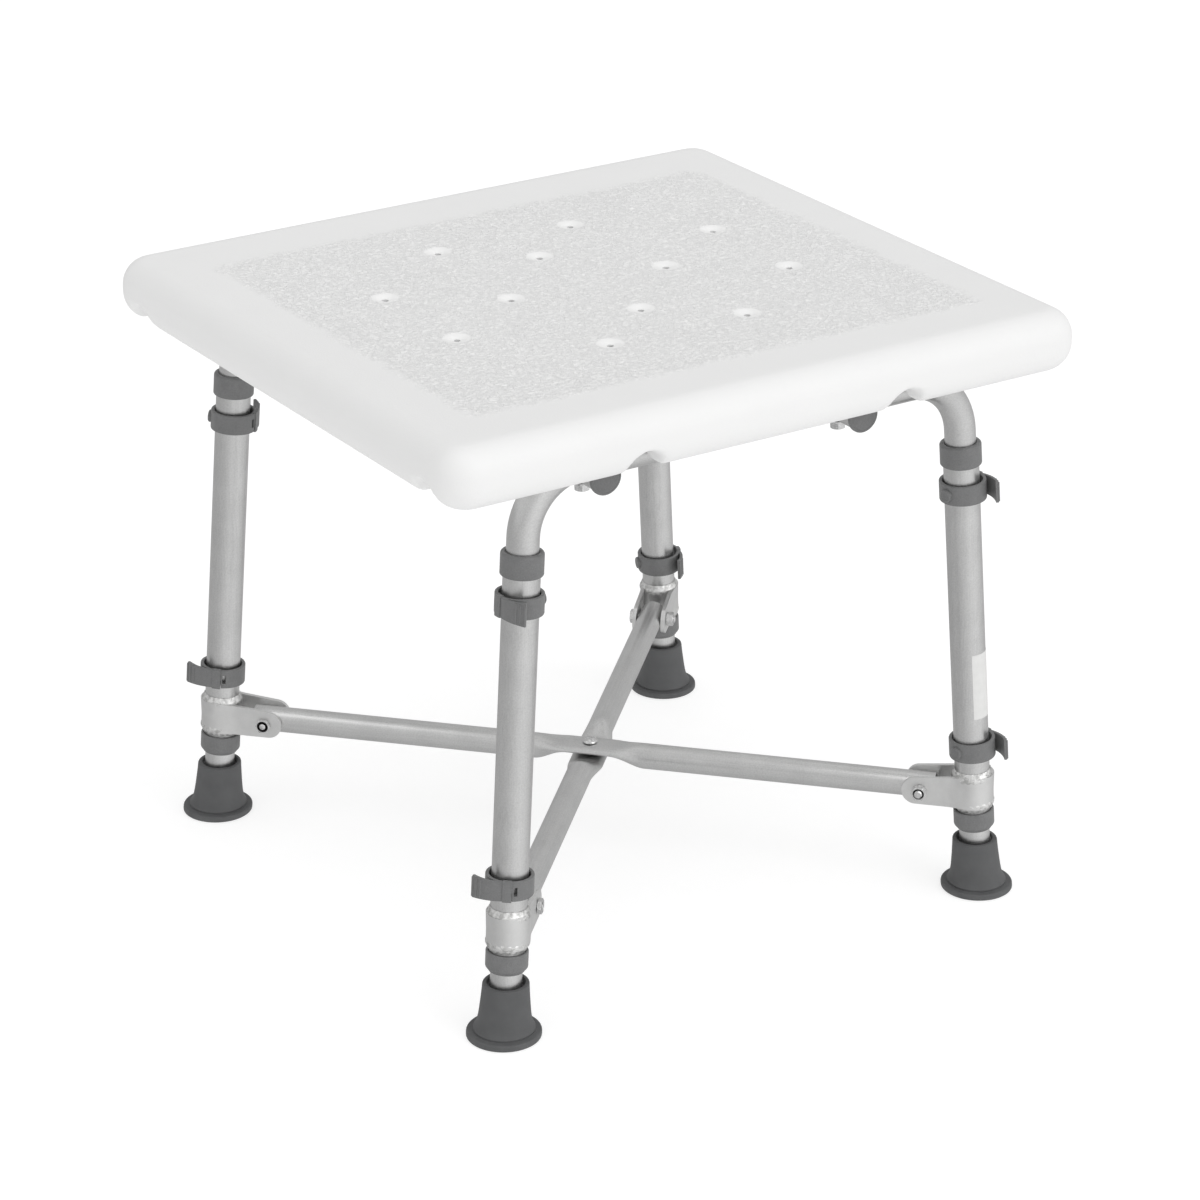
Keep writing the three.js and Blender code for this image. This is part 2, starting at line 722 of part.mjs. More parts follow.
function braceNutSolid() {
  const { radius, nut, acrossCorners } = braceBolt;
  const nutStart = earOuter + gap;
  return cut(
    solid(alongY(rod(acrossCorners / 2, nutStart, nutStart + nut, sides.hex))),
    solid(alongY(rod(radius + gap, nutStart - reach, nutStart + nut + reach, sides.small))),
  );
}

function rivetSolid() {
  const { radius, headRadius, headHeight, crownRadius, crownHeight } = rivet;
  const seating = braceLift + brace.flatThickness / 2 + gap;
  return solid(turned([
    [0, -seating - headHeight],
    [crownRadius, -seating - crownHeight],
    [headRadius, -seating],
    [radius, -seating],
    [radius, seating],
    [headRadius, seating],
    [crownRadius, seating + crownHeight],
    [0, seating + headHeight],
  ], sides.cap));
}

// ---------------------------------------------------------------- assembly

// A group whose own frame is given, holding pieces made in that frame.
function placed(matrix, ...pieces) {
  const group = new THREE.Group();
  matrix.decompose(group.position, group.quaternion, group.scale);
  group.add(...pieces);
  return group;
}

const stool = new THREE.Group();
stool.name = 'shower_stool';
stool.add(piece('seat', seatSolid(), finish.seat));

for (const [name, sy] of [['front', -1], ['rear', 1]]) {
  stool.add(placed(archFrame(sy), piece(`${name}_arch`, archSolid(sy), finish.aluminium)));
}

for (const [name, sx] of [['left', -1], ['right', 1]]) {
  const place = frameAt(sx * crossBar.x, 0, barZ);
  stool.add(placed(place, piece(`${name}_cross_bar`, crossBarSolid(), finish.aluminium)));
  for (const [end, sy] of [['front', -1], ['rear', 1]]) {
    const outward = new THREE.Quaternion().setFromAxisAngle(new THREE.Vector3(1, 0, 0), -sy * Math.PI / 2);
    const capPlace = frameAt(sx * crossBar.x, sy * barHalfLength, barZ, outward);
    const cap = piece(`${end}_${name}_cross_bar_cap`, crossBarCapSolid(), finish.grayPlastic);
    stool.add(placed(capPlace, cap));
    const boltPlace = frameAt(sx * crossBar.x, sy * boltY, barZ);
    const insertBottom = crossBar.radius + boss.insertStart;
    const insert = ring(
      seatBolt.radius + gap, boss.insertRadius, insertBottom, insertBottom + boss.insertLength, sides.cap);
    stool.add(placed(
      boltPlace,
      piece(`${end}_${name}_seat_bolt`, seatBoltSolid(), finish.steel),
      piece(`${end}_${name}_seat_insert`, solid(insert), finish.brass),
    ));
  }
}

for (const one of legs) {
  const { name, side } = one;
  stool.add(placed(
    legFrame(side),
    piece(`${name}_leg`, legSolid(one), finish.aluminium),
    piece(`${name}_upper_collar`, upperCollarSolid(), finish.grayPlastic),
    placed(
      clipFrame(upperPinHeight, one.upper.pin),
      piece(`${name}_upper_clip`, clipSolid(one.upper.tab), finish.grayPlastic),
    ),
    placed(
      clipFrame(lowerPinHeight, one.lower.pin),
      piece(`${name}_lower_clip`, clipSolid(one.lower.tab), finish.grayPlastic),
    ),
    piece(`${name}_lower_collar`, lowerCollarSolid(), finish.grayPlastic),
    piece(`${name}_foot_tube`, footTubeSolid(one), finish.aluminium),
  ));
  stool.add(placed(
    frameAt(side[0] * footX, side[1] * footY, 0),
    piece(`${name}_rubber_foot`, footSolid(side), finish.rubber),
  ));
  const bracketPlace = cornerFrame(side);
  const bolt = placed(
    frameAt(bracket.boltFromLeg, 0, 0),
    piece(`${name}_brace_bolt`, braceBoltSolid(), finish.steel),
    piece(`${name}_brace_nut`, braceNutSolid(), finish.steel),
  );
  stool.add(placed(bracketPlace, piece(`${name}_bracket`, bracketSolid(one), finish.bracket), bolt));
}

const level = (angle) => frameAt(0, 0, bracket.z, new THREE.Quaternion().setFromAxisAngle(
  new THREE.Vector3(0, 0, 1), angle));
const diagonal = Math.atan2(cornerY, cornerX);
stool.add(
  placed(level(-diagonal), piece('upper_brace', braceSolid(braceLift), finish.aluminium)),
  placed(level(diagonal), piece('lower_brace', braceSolid(-braceLift), finish.aluminium)),
  placed(level(0), piece('brace_rivet', rivetSolid(), finish.steel)),
);

export default stool;
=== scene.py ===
import json
import math

import bmesh
import bpy
from mathutils import Matrix, Vector


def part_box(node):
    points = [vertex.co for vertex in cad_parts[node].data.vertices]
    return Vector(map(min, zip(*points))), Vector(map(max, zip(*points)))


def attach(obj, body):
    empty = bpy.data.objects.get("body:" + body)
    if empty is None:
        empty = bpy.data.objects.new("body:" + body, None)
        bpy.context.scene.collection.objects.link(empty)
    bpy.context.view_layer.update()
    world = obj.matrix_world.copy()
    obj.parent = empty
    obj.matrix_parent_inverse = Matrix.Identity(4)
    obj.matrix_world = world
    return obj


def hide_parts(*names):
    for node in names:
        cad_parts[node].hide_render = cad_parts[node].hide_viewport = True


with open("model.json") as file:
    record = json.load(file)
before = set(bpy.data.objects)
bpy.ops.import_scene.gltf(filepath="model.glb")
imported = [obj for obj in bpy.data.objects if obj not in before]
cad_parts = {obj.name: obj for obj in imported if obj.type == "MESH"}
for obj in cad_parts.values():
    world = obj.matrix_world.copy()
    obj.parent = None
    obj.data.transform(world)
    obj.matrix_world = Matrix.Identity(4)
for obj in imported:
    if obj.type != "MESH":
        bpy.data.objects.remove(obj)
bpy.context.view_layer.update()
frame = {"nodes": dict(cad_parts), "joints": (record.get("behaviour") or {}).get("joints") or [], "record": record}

MM = 0.001
UP = Vector((0, 0, 1))
ACROSS = Vector((1, 0, 0))
SIDES = 64  # round tubes
SMALL_SIDES = 32  # pins, bolts and holes
LEGS = ("front_left", "rear_left", "front_right", "rear_right")

# For each clip: the pin's direction seen from above, in degrees, and which way the tab sweeps.
CLIPS = {
    "upper": {
        "front_left": (0, 1), "rear_left": (138, 1), "front_right": (-170, -1), "rear_right": (-170, -1),
    },
    "lower": {
        "front_left": (52, -1), "rear_left": (45, -1), "front_right": (-170, -1), "rear_right": (162, -1),
    },
}

CHANNEL = {"half_width": 14 * MM, "height": 13.4 * MM, "roof_radius": 8 * MM, "lip": 7 * MM}
MOUTH = {"depth": 26 * MM, "radius": 13 * MM, "flare": 4.5 * MM}
BOSS = {"radius": 9 * MM, "above_bar": 2 * MM, "into_seat": 4 * MM}
SKIN = {"voxel": 1.7 * MM, "smoothing": 0.5, "rounds": 5, "kept": 0.42}
DRAIN = {"dish_radius": 10 * MM, "dish_depth": 2.5 * MM, "hole_radius": 2.4 * MM}
DRAIN_QUARTER = [(56.5, 114), (0, 66), (138.5, 48.5), (65, 0)]  # millimetres, mirrored to all quarters
SEAT_CORNER = 24 * MM
SEAT_RIM = 20 * MM
SEAT_THICKNESS = 45 * MM


# ------------------------------------------------------------------ modelling by hand


def deselect():
    bpy.ops.object.select_all(action="DESELECT")


def pick_only(piece):
    deselect()
    piece.select_set(True)
    bpy.context.view_layer.objects.active = piece


def named(name):
    piece = bpy.context.object
    piece.name = name
    piece.data.name = name
    return piece


def added(name, operator, **settings):
    """What one of Blender's adding operators makes, with nothing else selected."""
    deselect()
    operator(**settings)
    return named(name)


def select_all():
    bpy.ops.mesh.select_all(action="SELECT")


def extrude(step):
    bpy.ops.mesh.extrude_region_move(TRANSFORM_OT_translate={"value": step})


class Editing:
    """Edit mode on one piece, for the length of a with block."""

    def __init__(self, piece, mode="VERT"):
        self.piece = piece
        self.mode = mode

    def __enter__(self):
        pick_only(self.piece)
        bpy.ops.object.mode_set(mode="EDIT")
        bpy.ops.mesh.select_mode(type=self.mode)
        return self

    def __exit__(self, *trouble):
        bpy.ops.object.mode_set(mode="OBJECT")

    def choose(self, kind, test):
        """Selects the verts, edges or faces that pass a test, and nothing else."""
        bpy.ops.mesh.select_all(action="DESELECT")
        shape = bmesh.from_edit_mesh(self.piece.data)
        for element in getattr(shape, kind):
            if test(element):
                element.select = True
        shape.select_flush_mode()
        bmesh.update_edit_mesh(self.piece.data)


def apply_modifier(piece, kind, **settings):
    pick_only(piece)
    modifier = piece.modifiers.new(kind.lower(), kind)
    for key, value in settings.items():
        setattr(modifier, key, value)
    bpy.ops.object.modifier_apply(modifier=modifier.name)
    return piece


def soften(piece, width, segments=3, angle=35):
    """Rounds every edge that turns by more than the angle."""
    return apply_modifier(
        piece, "BEVEL", width=width, segments=segments, limit_method="ANGLE", angle_limit=math.radians(angle)
    )


def smooth(piece, angle=40):
    pick_only(piece)
    bpy.ops.object.shade_smooth_by_angle(angle=math.radians(angle))
    return apply_modifier(piece, "WEIGHTED_NORMAL", keep_sharp=True)


def mend(piece, nearest=0.002 * MM):
    """Merges doubled corners, then points every face outwards."""
    with Editing(piece):
        select_all()
        bpy.ops.mesh.remove_doubles(threshold=nearest)
        bpy.ops.mesh.normals_make_consistent(inside=False)
    return piece


def face_out(piece):
    with Editing(piece):
        select_all()
        bpy.ops.mesh.normals_make_consistent(inside=False)
    return piece


def drawn(name, points):
    """A line through the points, drawn from one corner by extruding it from point to point."""
    piece = added(name, bpy.ops.mesh.primitive_plane_add, size=MM)
    with Editing(piece):
        select_all()
        bpy.ops.mesh.merge(type="CENTER")
        bpy.ops.transform.translate(value=points[0])
        for here, there in zip(points, points[1:]):
            extrude(Vector(there) - Vector(here))
    return piece


def sweep(degrees, steps, centre=(0, 0, 0), axis=UP):
    """Sweeps what is selected round an axis, anticlockwise as seen from the axis's tip. The operator itself
    turns the other way."""
    bpy.ops.mesh.spin(steps=steps, angle=-math.radians(degrees), center=centre, axis=axis)


def turned(name, profile, sides=SIDES):
    """A shape turned about Z, from [radius, height] points that end on the axis or close on themselves."""
    piece = drawn(name, [(radius, 0, height) for radius, height in profile])
    with Editing(piece):
        bpy.ops.mesh.select_all(action="SELECT")
        sweep(360, sides)
    return mend(piece)


def tube(name, inner, outer, low, high, sides=SIDES, edge=0.3 * MM):
    piece = turned(name, [(inner, low), (outer, low), (outer, high), (inner, high), (inner, low)], sides)
    return soften(piece, edge, 2)


def rod(name, radius, low, high, sides=SMALL_SIDES, edge=0.0):
    piece = turned(name, [(0, low), (radius, low), (radius, high), (0, high)], sides)
    return soften(piece, edge, 2) if edge else piece


def block(name, low, high):
    """A box from its lowest corner to its highest, as a start for a shape."""
    low, high = Vector(low), Vector(high)
    cube = added(name, bpy.ops.mesh.primitive_cube_add, size=1, location=(low + high) / 2, scale=high - low)
    return fix_place(cube)


def fix_place(piece):
    pick_only(piece)
    bpy.ops.object.transform_apply(location=True, rotation=True, scale=True)
    return piece


def put(piece, place):
    """Moves a piece, and leaves its object at the origin with the place in its mesh."""
    piece.matrix_world = place @ piece.matrix_world
    return fix_place(piece)


def turn(axis, degrees):
    return Matrix.Rotation(math.radians(degrees), 4, axis)


def move(x, y, z):
    return Matrix.Translation((x, y, z))


def copied(piece, name):
    pick_only(piece)
    bpy.ops.object.duplicate()
    return named(name)


def combine(piece, operation, others):
    for other in others:
        apply_modifier(piece, "BOOLEAN", operation=operation, solver="MANIFOLD", object=other)
        bpy.data.objects.remove(other)
    return piece


def cut(piece, *tools):
    return combine(piece, "DIFFERENCE", tools)


def join(piece, *others):
    return combine(piece, "UNION", others)


def flipped(piece, axis):
    """The mirror image of a piece, with its faces still pointing out."""
    with Editing(piece):
        select_all()
        bpy.ops.transform.resize(value=[-1 if k == axis else 1 for k in range(3)], center_override=(0, 0, 0))
    return face_out(piece)


# ------------------------------------------------------------------ places and sizes read from the frame


def span(node, place=Matrix()):
    """The lowest and highest corners of a CAD node in a frame of its own."""
    back = place.inverted()
    spots = [back @ corner.co for corner in frame["nodes"][node].data.vertices]
    low = Vector([min(spot[k] for spot in spots) for k in range(3)])
    high = Vector([max(spot[k] for spot in spots) for k in range(3)])
    return low, high


def middle(node, place=Matrix()):
    """The centre of a CAD node's box, in a frame of its own."""
    low, high = span(node, place)
    return (low + high) / 2


def found(rows, name):
    return next(row for row in rows if row["name"] == name)


def foot_centre(leg):
    return found(frame["record"]["mounts"], f"{leg}_foot_base")["pos_m"]


def facing(direction):
    """A turn that takes +Z to a direction."""
    return UP.rotation_difference(direction).to_matrix().to_4x4()


def leg_place(leg):
    """A leg's frame: the origin is on the floor, on the leg's axis, and +Z runs up the leg."""
    up = -Vector(found(frame["joints"], f"{leg}_height")["axis"])
    return Matrix.Translation(foot_centre(leg)) @ facing(up)


def leg_up(leg):
    """The direction up a leg's axis."""
    return leg_place(leg).to_3x3() @ UP


def on_axis(leg, height):
    """The point of a leg's axis at a height above the floor."""
    up = leg_up(leg)
    return leg_place(leg).translation + up * (height / up.z)


def corner_place(leg):
    """A brace corner's frame: level, on the leg's axis at the braces' height, with +X to the middle."""
    spot = on_axis(leg, middle(f"{leg}_brace_bolt").z)
    heading = math.atan2(-spot.y, -spot.x)
    return Matrix.Translation(spot) @ Matrix.Rotation(heading, 4, "Z")


# ------------------------------------------------------------------ materials


class Signal:
    """One socket of a material's nodes. Arithmetic on signals adds Math nodes."""

    def __init__(self, finish, socket):
        self.finish = finish
        self.socket = socket

    def maths(self, operation, first, second=0.0):
        return self.finish.node("ShaderNodeMath", {"operation": operation}, {0: first, 1: second})

    def __add__(self, other):
        return self.maths("ADD", self, other)

    __radd__ = __add__

    def __sub__(self, other):
        return self.maths("SUBTRACT", self, other)

    def __rsub__(self, other):
        return self.maths("SUBTRACT", other, self)

    def __mul__(self, other):
        return self.maths("MULTIPLY", self, other)

    __rmul__ = __mul__

    def __pow__(self, other):
        return self.maths("POWER", self, other)

    def __abs__(self):
        return self.maths("ABSOLUTE", self)

    def largest(self, other):
        return self.maths("MAXIMUM", self, other)

    def smallest(self, other):
        return self.maths("MINIMUM", self, other)


class Finish:
    """The nodes of a material with one Principled shader, or of the world. node() makes the others."""

    def __init__(self, name, constants, store=None):
        self.material = (bpy.data.materials if store is None else store).new(name)
        self.material.use_nodes = True
        self.tree = self.material.node_tree
        kind = "BSDF_PRINCIPLED" if store is None else "BACKGROUND"
        self.shader = next(node for node in self.tree.nodes if node.type == kind)
        for socket, value in constants.items():
            self.shader.inputs[socket].default_value = value
        self.place = self.node("ShaderNodeTexCoord", output="Object" if store is None else "Generated")

    def node(self, kind, settings=None, inputs=None, output=0):
        """Adds a node: its settings first, then the values or links of its sockets."""
        node = self.tree.nodes.new(kind)
        for key, value in (settings or {}).items():
            setattr(node, key, value)
        for key, value in (inputs or {}).items():
            if isinstance(value, Signal):
                self.tree.links.new(value.socket, node.inputs[key])
            else:
                node.inputs[key].default_value = value
        return Signal(self, node.outputs[output])

    def feed(self, socket, signal):
        self.tree.links.new(signal.socket, self.shader.inputs[socket])

    def axes(self):
        parts = self.node("ShaderNodeSeparateXYZ", None, {0: self.place}).socket.node
        return [Signal(self, parts.outputs[k]) for k in range(3)]

    def scaled(self, along, across_size, along_size):
        """Coordinates stretched along a direction, for streaks, with their sizes in metres."""
        heading = UP.rotation_difference(Vector(along).normalized()).inverted().to_euler()
        scale = (1 / across_size, 1 / across_size, 1 / along_size)
        inputs = {"Vector": self.place, "Rotation": heading}
        turned_place = self.node("ShaderNodeMapping", {"vector_type": "POINT"}, inputs)
        return self.vector_maths("MULTIPLY", {0: turned_place, 1: scale})

    def vector_maths(self, operation, inputs):
        return self.node("ShaderNodeVectorMath", {"operation": operation}, inputs)

    def noise(self, size, detail=2.0, roughness=0.5, place=None, distortion=0.0):
        """Cloudy noise from 0 to 1, with its grain's size in the units of its coordinates."""
        inputs = {"Vector": place or self.place, "Scale": 1 / size}
        inputs.update({"Detail": detail, "Roughness": roughness, "Distortion": distortion})
        return self.node("ShaderNodeTexNoise", None, inputs)

    def ramp(self, signal, low, high, start=0.0, end=1.0):
        """A smooth step: start below low, end above high."""
        settings = {"interpolation_type": "SMOOTHSTEP"}
        inputs = {"Value": signal, "From Min": low, "From Max": high, "To Min": start, "To Max": end}
        return self.node("ShaderNodeMapRange", settings, inputs)

    def tint(self, share, dark, light):
        settings = {"data_type": "RGBA"}
        inputs = {"Factor": share, 6: (*dark, 1), 7: (*light, 1)}
        return self.node("ShaderNodeMix", settings, inputs, output=2)

    def bump(self, height, depth, under=None):
        """Relief whose full height is depth metres, on top of another relief."""
        inputs = {"Height": height, "Distance": depth, "Strength": 1.0}
        if under:
            inputs["Normal"] = under
        return self.node("ShaderNodeBump", None, inputs)

    def coat(self, shade, dark, light, roughness, relief):
        """Gives the shader its colour, between two tints, its roughness and its relief."""
        self.feed("Base Color", self.tint(shade, dark, light))
        self.feed("Roughness", roughness)
        self.feed("Normal", relief)
        return self.material


PANEL = {
    "half_x": 208 * MM, "half_y": 178 * MM, "middle_y": -5 * MM, "corner": 10 * MM, "fade": 7 * MM,
    "raggedness": 16 * MM,
}


def on_panel(finish, x, y):
    """1 over the sitting panel, dying out unevenly at its edge."""
    aside = (abs(x) - (PANEL["half_x"] - PANEL["corner"])).largest(0.0)
    ahead = (abs(y - PANEL["middle_y"]) - (PANEL["half_y"] - PANEL["corner"])).largest(0.0)
    past_edge = (aside * aside + ahead * ahead) ** 0.5 - PANEL["corner"]
    ragged = past_edge + (finish.noise(9 * MM, 2.0) - 0.5) * PANEL["raggedness"]
    return finish.ramp(ragged, -PANEL["fade"], PANEL["fade"], 1.0, 0.0)


def in_dishes(finish, x, y):
    """1 in the drain dishes. The quarters are folded onto one, so a few distances do for all of them."""
    nearest = None
    for hole_x, hole_y in DRAIN_QUARTER:
        off_x, off_y = abs(x) - hole_x * MM, abs(y) - hole_y * MM
        away = (off_x * off_x + off_y * off_y) ** 0.5
        nearest = nearest.smallest(away) if nearest else away
    edge = DRAIN["dish_radius"]
    return finish.ramp(nearest, edge - 1.5 * MM, edge + 1 * MM, 1.0, 0.0)


def wrinkled(finish):
    """Leathery wrinkles from 0 to 1: swirled cells, crossed by creases."""
    shift = finish.vector_maths("SCALE", {0: (1, 1, 0), "Scale": finish.noise(6 * MM, 1.0) * (5 * MM)})
    swirled = finish.vector_maths("ADD", {0: finish.place, 1: shift})
    cells = finish.node(
        "ShaderNodeTexVoronoi", {"feature": "SMOOTH_F1", "distance": "EUCLIDEAN"},
        {"Vector": swirled, "Scale": 1 / (4.2 * MM), "Smoothness": 0.3, "Randomness": 1.0},
    )
    creases = finish.ramp(finish.noise(3.2 * MM, 2.0, 0.6, distortion=1.8), 0.42, 0.58)
    return finish.ramp(cells, 0.15, 0.60, 1.0, 0.0) * 0.5 + creases * 0.5


def seat_plastic():
    """White blow-moulded plastic: an orange-peel skin, and a wrinkled grain over the sitting panel that
    dies out unevenly at its edge and stops round each drain dish. Each dish is lightened by painted sheen."""
    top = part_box("seat")[1].z
    finish = Finish("seat_plastic", {"Specular IOR Level": 0.42})
    x, y, z = finish.axes()
    on_top = finish.ramp(z, top - 4 * MM, top - 1 * MM)
    in_dish = in_dishes(finish, x, y) * on_top
    grained = on_panel(finish, x, y) * on_top * (1 - in_dish)
    wrinkles = wrinkled(finish)
    peel = finish.noise(1.5 * MM, 3.0, 0.6)
    waves = finish.noise(45 * MM, 1.0)
    skin = finish.bump(peel, 0.10 * MM, finish.bump(waves, 0.25 * MM))
    relief = finish.bump(wrinkles * grained, 0.50 * MM, skin)
    # in_dish * 0.3 is painted sheen: it lightens the drain dishes beyond the plain plastic round them.
    shade = ((wrinkles - 0.5) * 0.8 + 0.2) * grained + in_dish * 0.3 + 0.5 + (waves - 0.5) * 0.1
    roughness = 0.50 - grained * 0.06 + (peel - 0.5) * 0.18
    return finish.coat(shade, (0.73, 0.73, 0.73), (0.92, 0.92, 0.915), roughness, relief)


def tube_metal(name, along, level=0.67, rough=0.34):
    """Satin drawn aluminium: fine streaks along the tube, a soft cloudiness and a speckled skin."""
    finish = Finish(name, {"Metallic": 1.0})
    streaks = finish.noise(1, 3.0, 0.6, place=finish.scaled(along, 0.8 * MM, 60 * MM))
    clouds = finish.noise(18 * MM, 2.0)
    grain = finish.noise(1.1 * MM, 3.0, 0.7)
    shade = (streaks - 0.5) * 0.6 + (clouds - 0.5) * 0.4 + (grain - 0.5) * 1.1 + 0.5
    low, high = level * 0.80, level * 1.20
    roughness = rough + (streaks - 0.5) * 0.16 + (grain - 0.5) * 0.16
    relief = finish.bump(grain, 0.05 * MM, finish.bump(streaks, 0.012 * MM))
    return finish.coat(shade, (low, low, low * 0.995), (high, high, high * 0.995), roughness, relief)


def bracket_metal():
    """Blasted aluminium plate, paler and duller than the tubes, with a cast-like bloom."""
    finish = Finish("bracket_metal", {"Metallic": 1.0})
    clouds = finish.noise(9 * MM, 3.0, 0.6)
    grain = finish.noise(0.7 * MM, 3.0, 0.65)
    shade = clouds * 0.6 + grain * 0.4
    relief = finish.bump(grain, 0.04 * MM, finish.bump(clouds, 0.10 * MM))
    roughness = 0.42 + (grain - 0.5) * 0.22
    return finish.coat(shade, (0.64, 0.64, 0.635), (0.88, 0.88, 0.875), roughness, relief)


def weld_metal():
    """Bright weld bead with its own fine ripples."""
    finish = Finish("weld_metal", {"Metallic": 1.0})
    ripples = finish.noise(1.3 * MM, 2.0, 0.6, distortion=0.8)
    tone = finish.ramp(finish.noise(4 * MM, 2.0), 0.30, 0.62)
    relief = finish.bump(ripples, 0.35 * MM)
    return finish.coat(tone, (0.56, 0.56, 0.55), (0.90, 0.90, 0.89), 0.30 + ripples * 0.18, relief)


def gray_plastic():
    """Mid-gray moulded plastic with a fine spark-eroded texture."""
    finish = Finish("gray_plastic", {"Specular IOR Level": 0.45})
    grain = finish.noise(0.9 * MM, 3.0, 0.65)
    shade = finish.noise(7 * MM, 2.0) * 0.4 + (grain - 0.5) * 1.0 + 0.3
    relief = finish.bump(grain, 0.10 * MM)
    roughness = 0.42 + (grain - 0.5) * 0.24
    return finish.coat(shade, (0.112, 0.113, 0.114), (0.215, 0.216, 0.217), roughness, relief)


def foot_rubber():
    """Dark gray rubber, matt, a little paler and dustier where it meets the floor."""
    finish = Finish("foot_rubber", {"Specular IOR Level": 0.35})
    height = finish.axes()[2]
    grain = finish.noise(0.8 * MM, 3.0, 0.7)
    clouds = finish.noise(11 * MM, 2.0)
    dust = finish.ramp(height, 0.0, 7 * MM, 1.0, 0.0) * finish.ramp(clouds, 0.35, 0.75)
    shade = clouds * 0.5 + grain * 0.3 + dust * 0.25
    relief = finish.bump(grain, 0.06 * MM)
    roughness = 0.58 + (grain - 0.5) * 0.2 + dust * 0.1
    return finish.coat(shade, (0.072, 0.073, 0.075), (0.128, 0.130, 0.132), roughness, relief)


def plated_steel():
    """Bright plated fasteners with small dull spots, and painted shade where the mesh is marked as shaded."""
    finish = Finish("plated_steel", {"Metallic": 1.0})
    spots = finish.noise(1.6 * MM, 2.0, 0.6)
    # The marked corners, in grooves and bores, get painted shade: a dark base colour and a higher roughness.
    grime = finish.node("ShaderNodeAttribute", {"attribute_name": "grime"}, output=2)
    tone = (1 - grime) * (spots * 0.6 + 0.4)
    relief = finish.bump(spots, 0.02 * MM)
    roughness = 0.12 + spots * 0.16 + grime * 0.5
    return finish.coat(tone, (0.03, 0.03, 0.03), (1.0, 1.0, 1.0), roughness, relief)


def insert_brass():
    """Plain yellow brass, cloudy with age."""
    finish = Finish("insert_brass", {"Metallic": 1.0})
    spots = finish.noise(1.2 * MM, 2.0, 0.6)
    relief = finish.bump(spots, 0.03 * MM)
    return finish.coat(spots, (0.55, 0.38, 0.16), (0.80, 0.62, 0.32), 0.28 + spots * 0.2, relief)


def sticker_film():
    """Pale, faintly cloudy film for a blank label."""
    finish = Finish("sticker_film", {"Specular IOR Level": 0.5})
    clouds = finish.noise(5 * MM, 2.0)
    relief = finish.bump(clouds, 0.03 * MM)
    return finish.coat(clouds, (0.66, 0.66, 0.65), (0.75, 0.75, 0.74), 0.34 + clouds * 0.1, relief)


def floor_paper():
    """Pale paper, lit from behind as well, so that it stays pale under the stool."""
    constants = {"Roughness": 1.0, "Specular IOR Level": 0.0, "Emission Strength": 0.68}
    finish = Finish("floor_paper", {**constants, "Emission Color": (1, 1, 1, 1)})
    fibres = finish.noise(30 * MM, 2.0)
    finish.feed("Base Color", finish.tint(fibres, (0.40, 0.40, 0.40), (0.42, 0.42, 0.42)))
    return finish.material


FINISHES = {
    "seat_plastic": seat_plastic(),
    "leg_metal": tube_metal("leg_metal", UP),
    "arch_metal": tube_metal("arch_metal", ACROSS),
    "bar_metal": tube_metal("bar_metal", (0, 1, 0)),
    "bracket_metal": bracket_metal(),
    "weld_metal": weld_metal(),
    "gray_plastic": gray_plastic(),
    "foot_rubber": foot_rubber(),
    "plated_steel": plated_steel(),
    "insert_brass": insert_brass(),
    "sticker_film": sticker_film(),
    "floor_paper": floor_paper(),
}


def show(piece, finish, slot, body, *nodes, angle=40):
    """Gives a finished piece its material and its body, and hides the CAD nodes that it stands for. The slot is
    not used.
    """
    smooth(piece, angle)
    piece.data.materials.clear()
    piece.data.materials.append(FINISHES[finish] if isinstance(finish, str) else finish)
    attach(piece, body)
    if nodes:
        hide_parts(*nodes)
    return piece


# ------------------------------------------------------------------ seat


def arc(centre, radius, start, end, steps):
    """Points on an arc, from one angle to another, in degrees."""
    points = []
    for k in range(steps + 1):
        angle = math.radians(start + (end - start) * k / steps)
        points.append((centre[0] + radius * math.cos(angle), centre[1] + radius * math.sin(angle)))
    return points


def eased(share):
    """A share from 0 to 1 that starts and ends gently."""
    return share * share * (3 - 2 * share)


def seat_box():
    """The seat's box without the bosses that hang below it."""
    low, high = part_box("seat")
    return Vector((low.x, low.y, high.z - SEAT_THICKNESS)), high


def upright(edge):
    return abs((edge.verts[0].co - edge.verts[1].co).normalized().z) > 0.9


def seat_slab():
    """A slab with rounded corners and a fully rounded rim."""
    low, high = seat_box()
    slab = block("seat_shell", low, high)
    with Editing(slab, "EDGE") as edit:
        edit.choose("edges", upright)
        bpy.ops.mesh.bevel(offset=SEAT_CORNER, segments=14, affect="EDGES", clamp_overlap=False)
        for level in (low.z, high.z):
            edit.choose("edges", lambda edge: all(abs(vert.co.z - level) < 0.1 * MM for vert in edge.verts))
            bpy.ops.mesh.bevel(offset=SEAT_RIM, segments=12, affect="EDGES", clamp_overlap=False)
    return mend(slab)


def channel_tool(name, half_length):
    """The space of one underside channel along Y, with a domed roof and flared lips."""
    side, top, lip, roof = CHANNEL["half_width"], CHANNEL["height"], CHANNEL["lip"], CHANNEL["roof_radius"]
    right = [(side + lip, -lip)]
    right += arc((side + lip, lip), lip, -90, -180, 8)
    right += arc((side - roof, top - roof), roof, 0, 90, 8)
    left = [(-x, z) for x, z in reversed(right)]
    tool = drawn(name, [(x, -half_length, z) for x, z in right + left + right[:1]])
    with Editing(tool):
        select_all()
        bpy.ops.mesh.remove_doubles(threshold=0.01 * MM)
        bpy.ops.mesh.edge_face_add()
        extrude((0, 2 * half_length, 0))
    return face_out(tool)


def mouth_tool(name):
    """A flared mouth where a channel leaves the rim. Its axis runs inwards along +Z."""
    depth, steps = MOUTH["depth"], 8
    profile = [(0, -MM)]
    for k in range(steps + 1):
        share = k / steps
        profile.append((MOUTH["radius"] + MOUTH["flare"] * (1 - share) ** 2, -MM + (depth + MM) * share))
    profile.append((0, depth))
    return turned(name, profile)


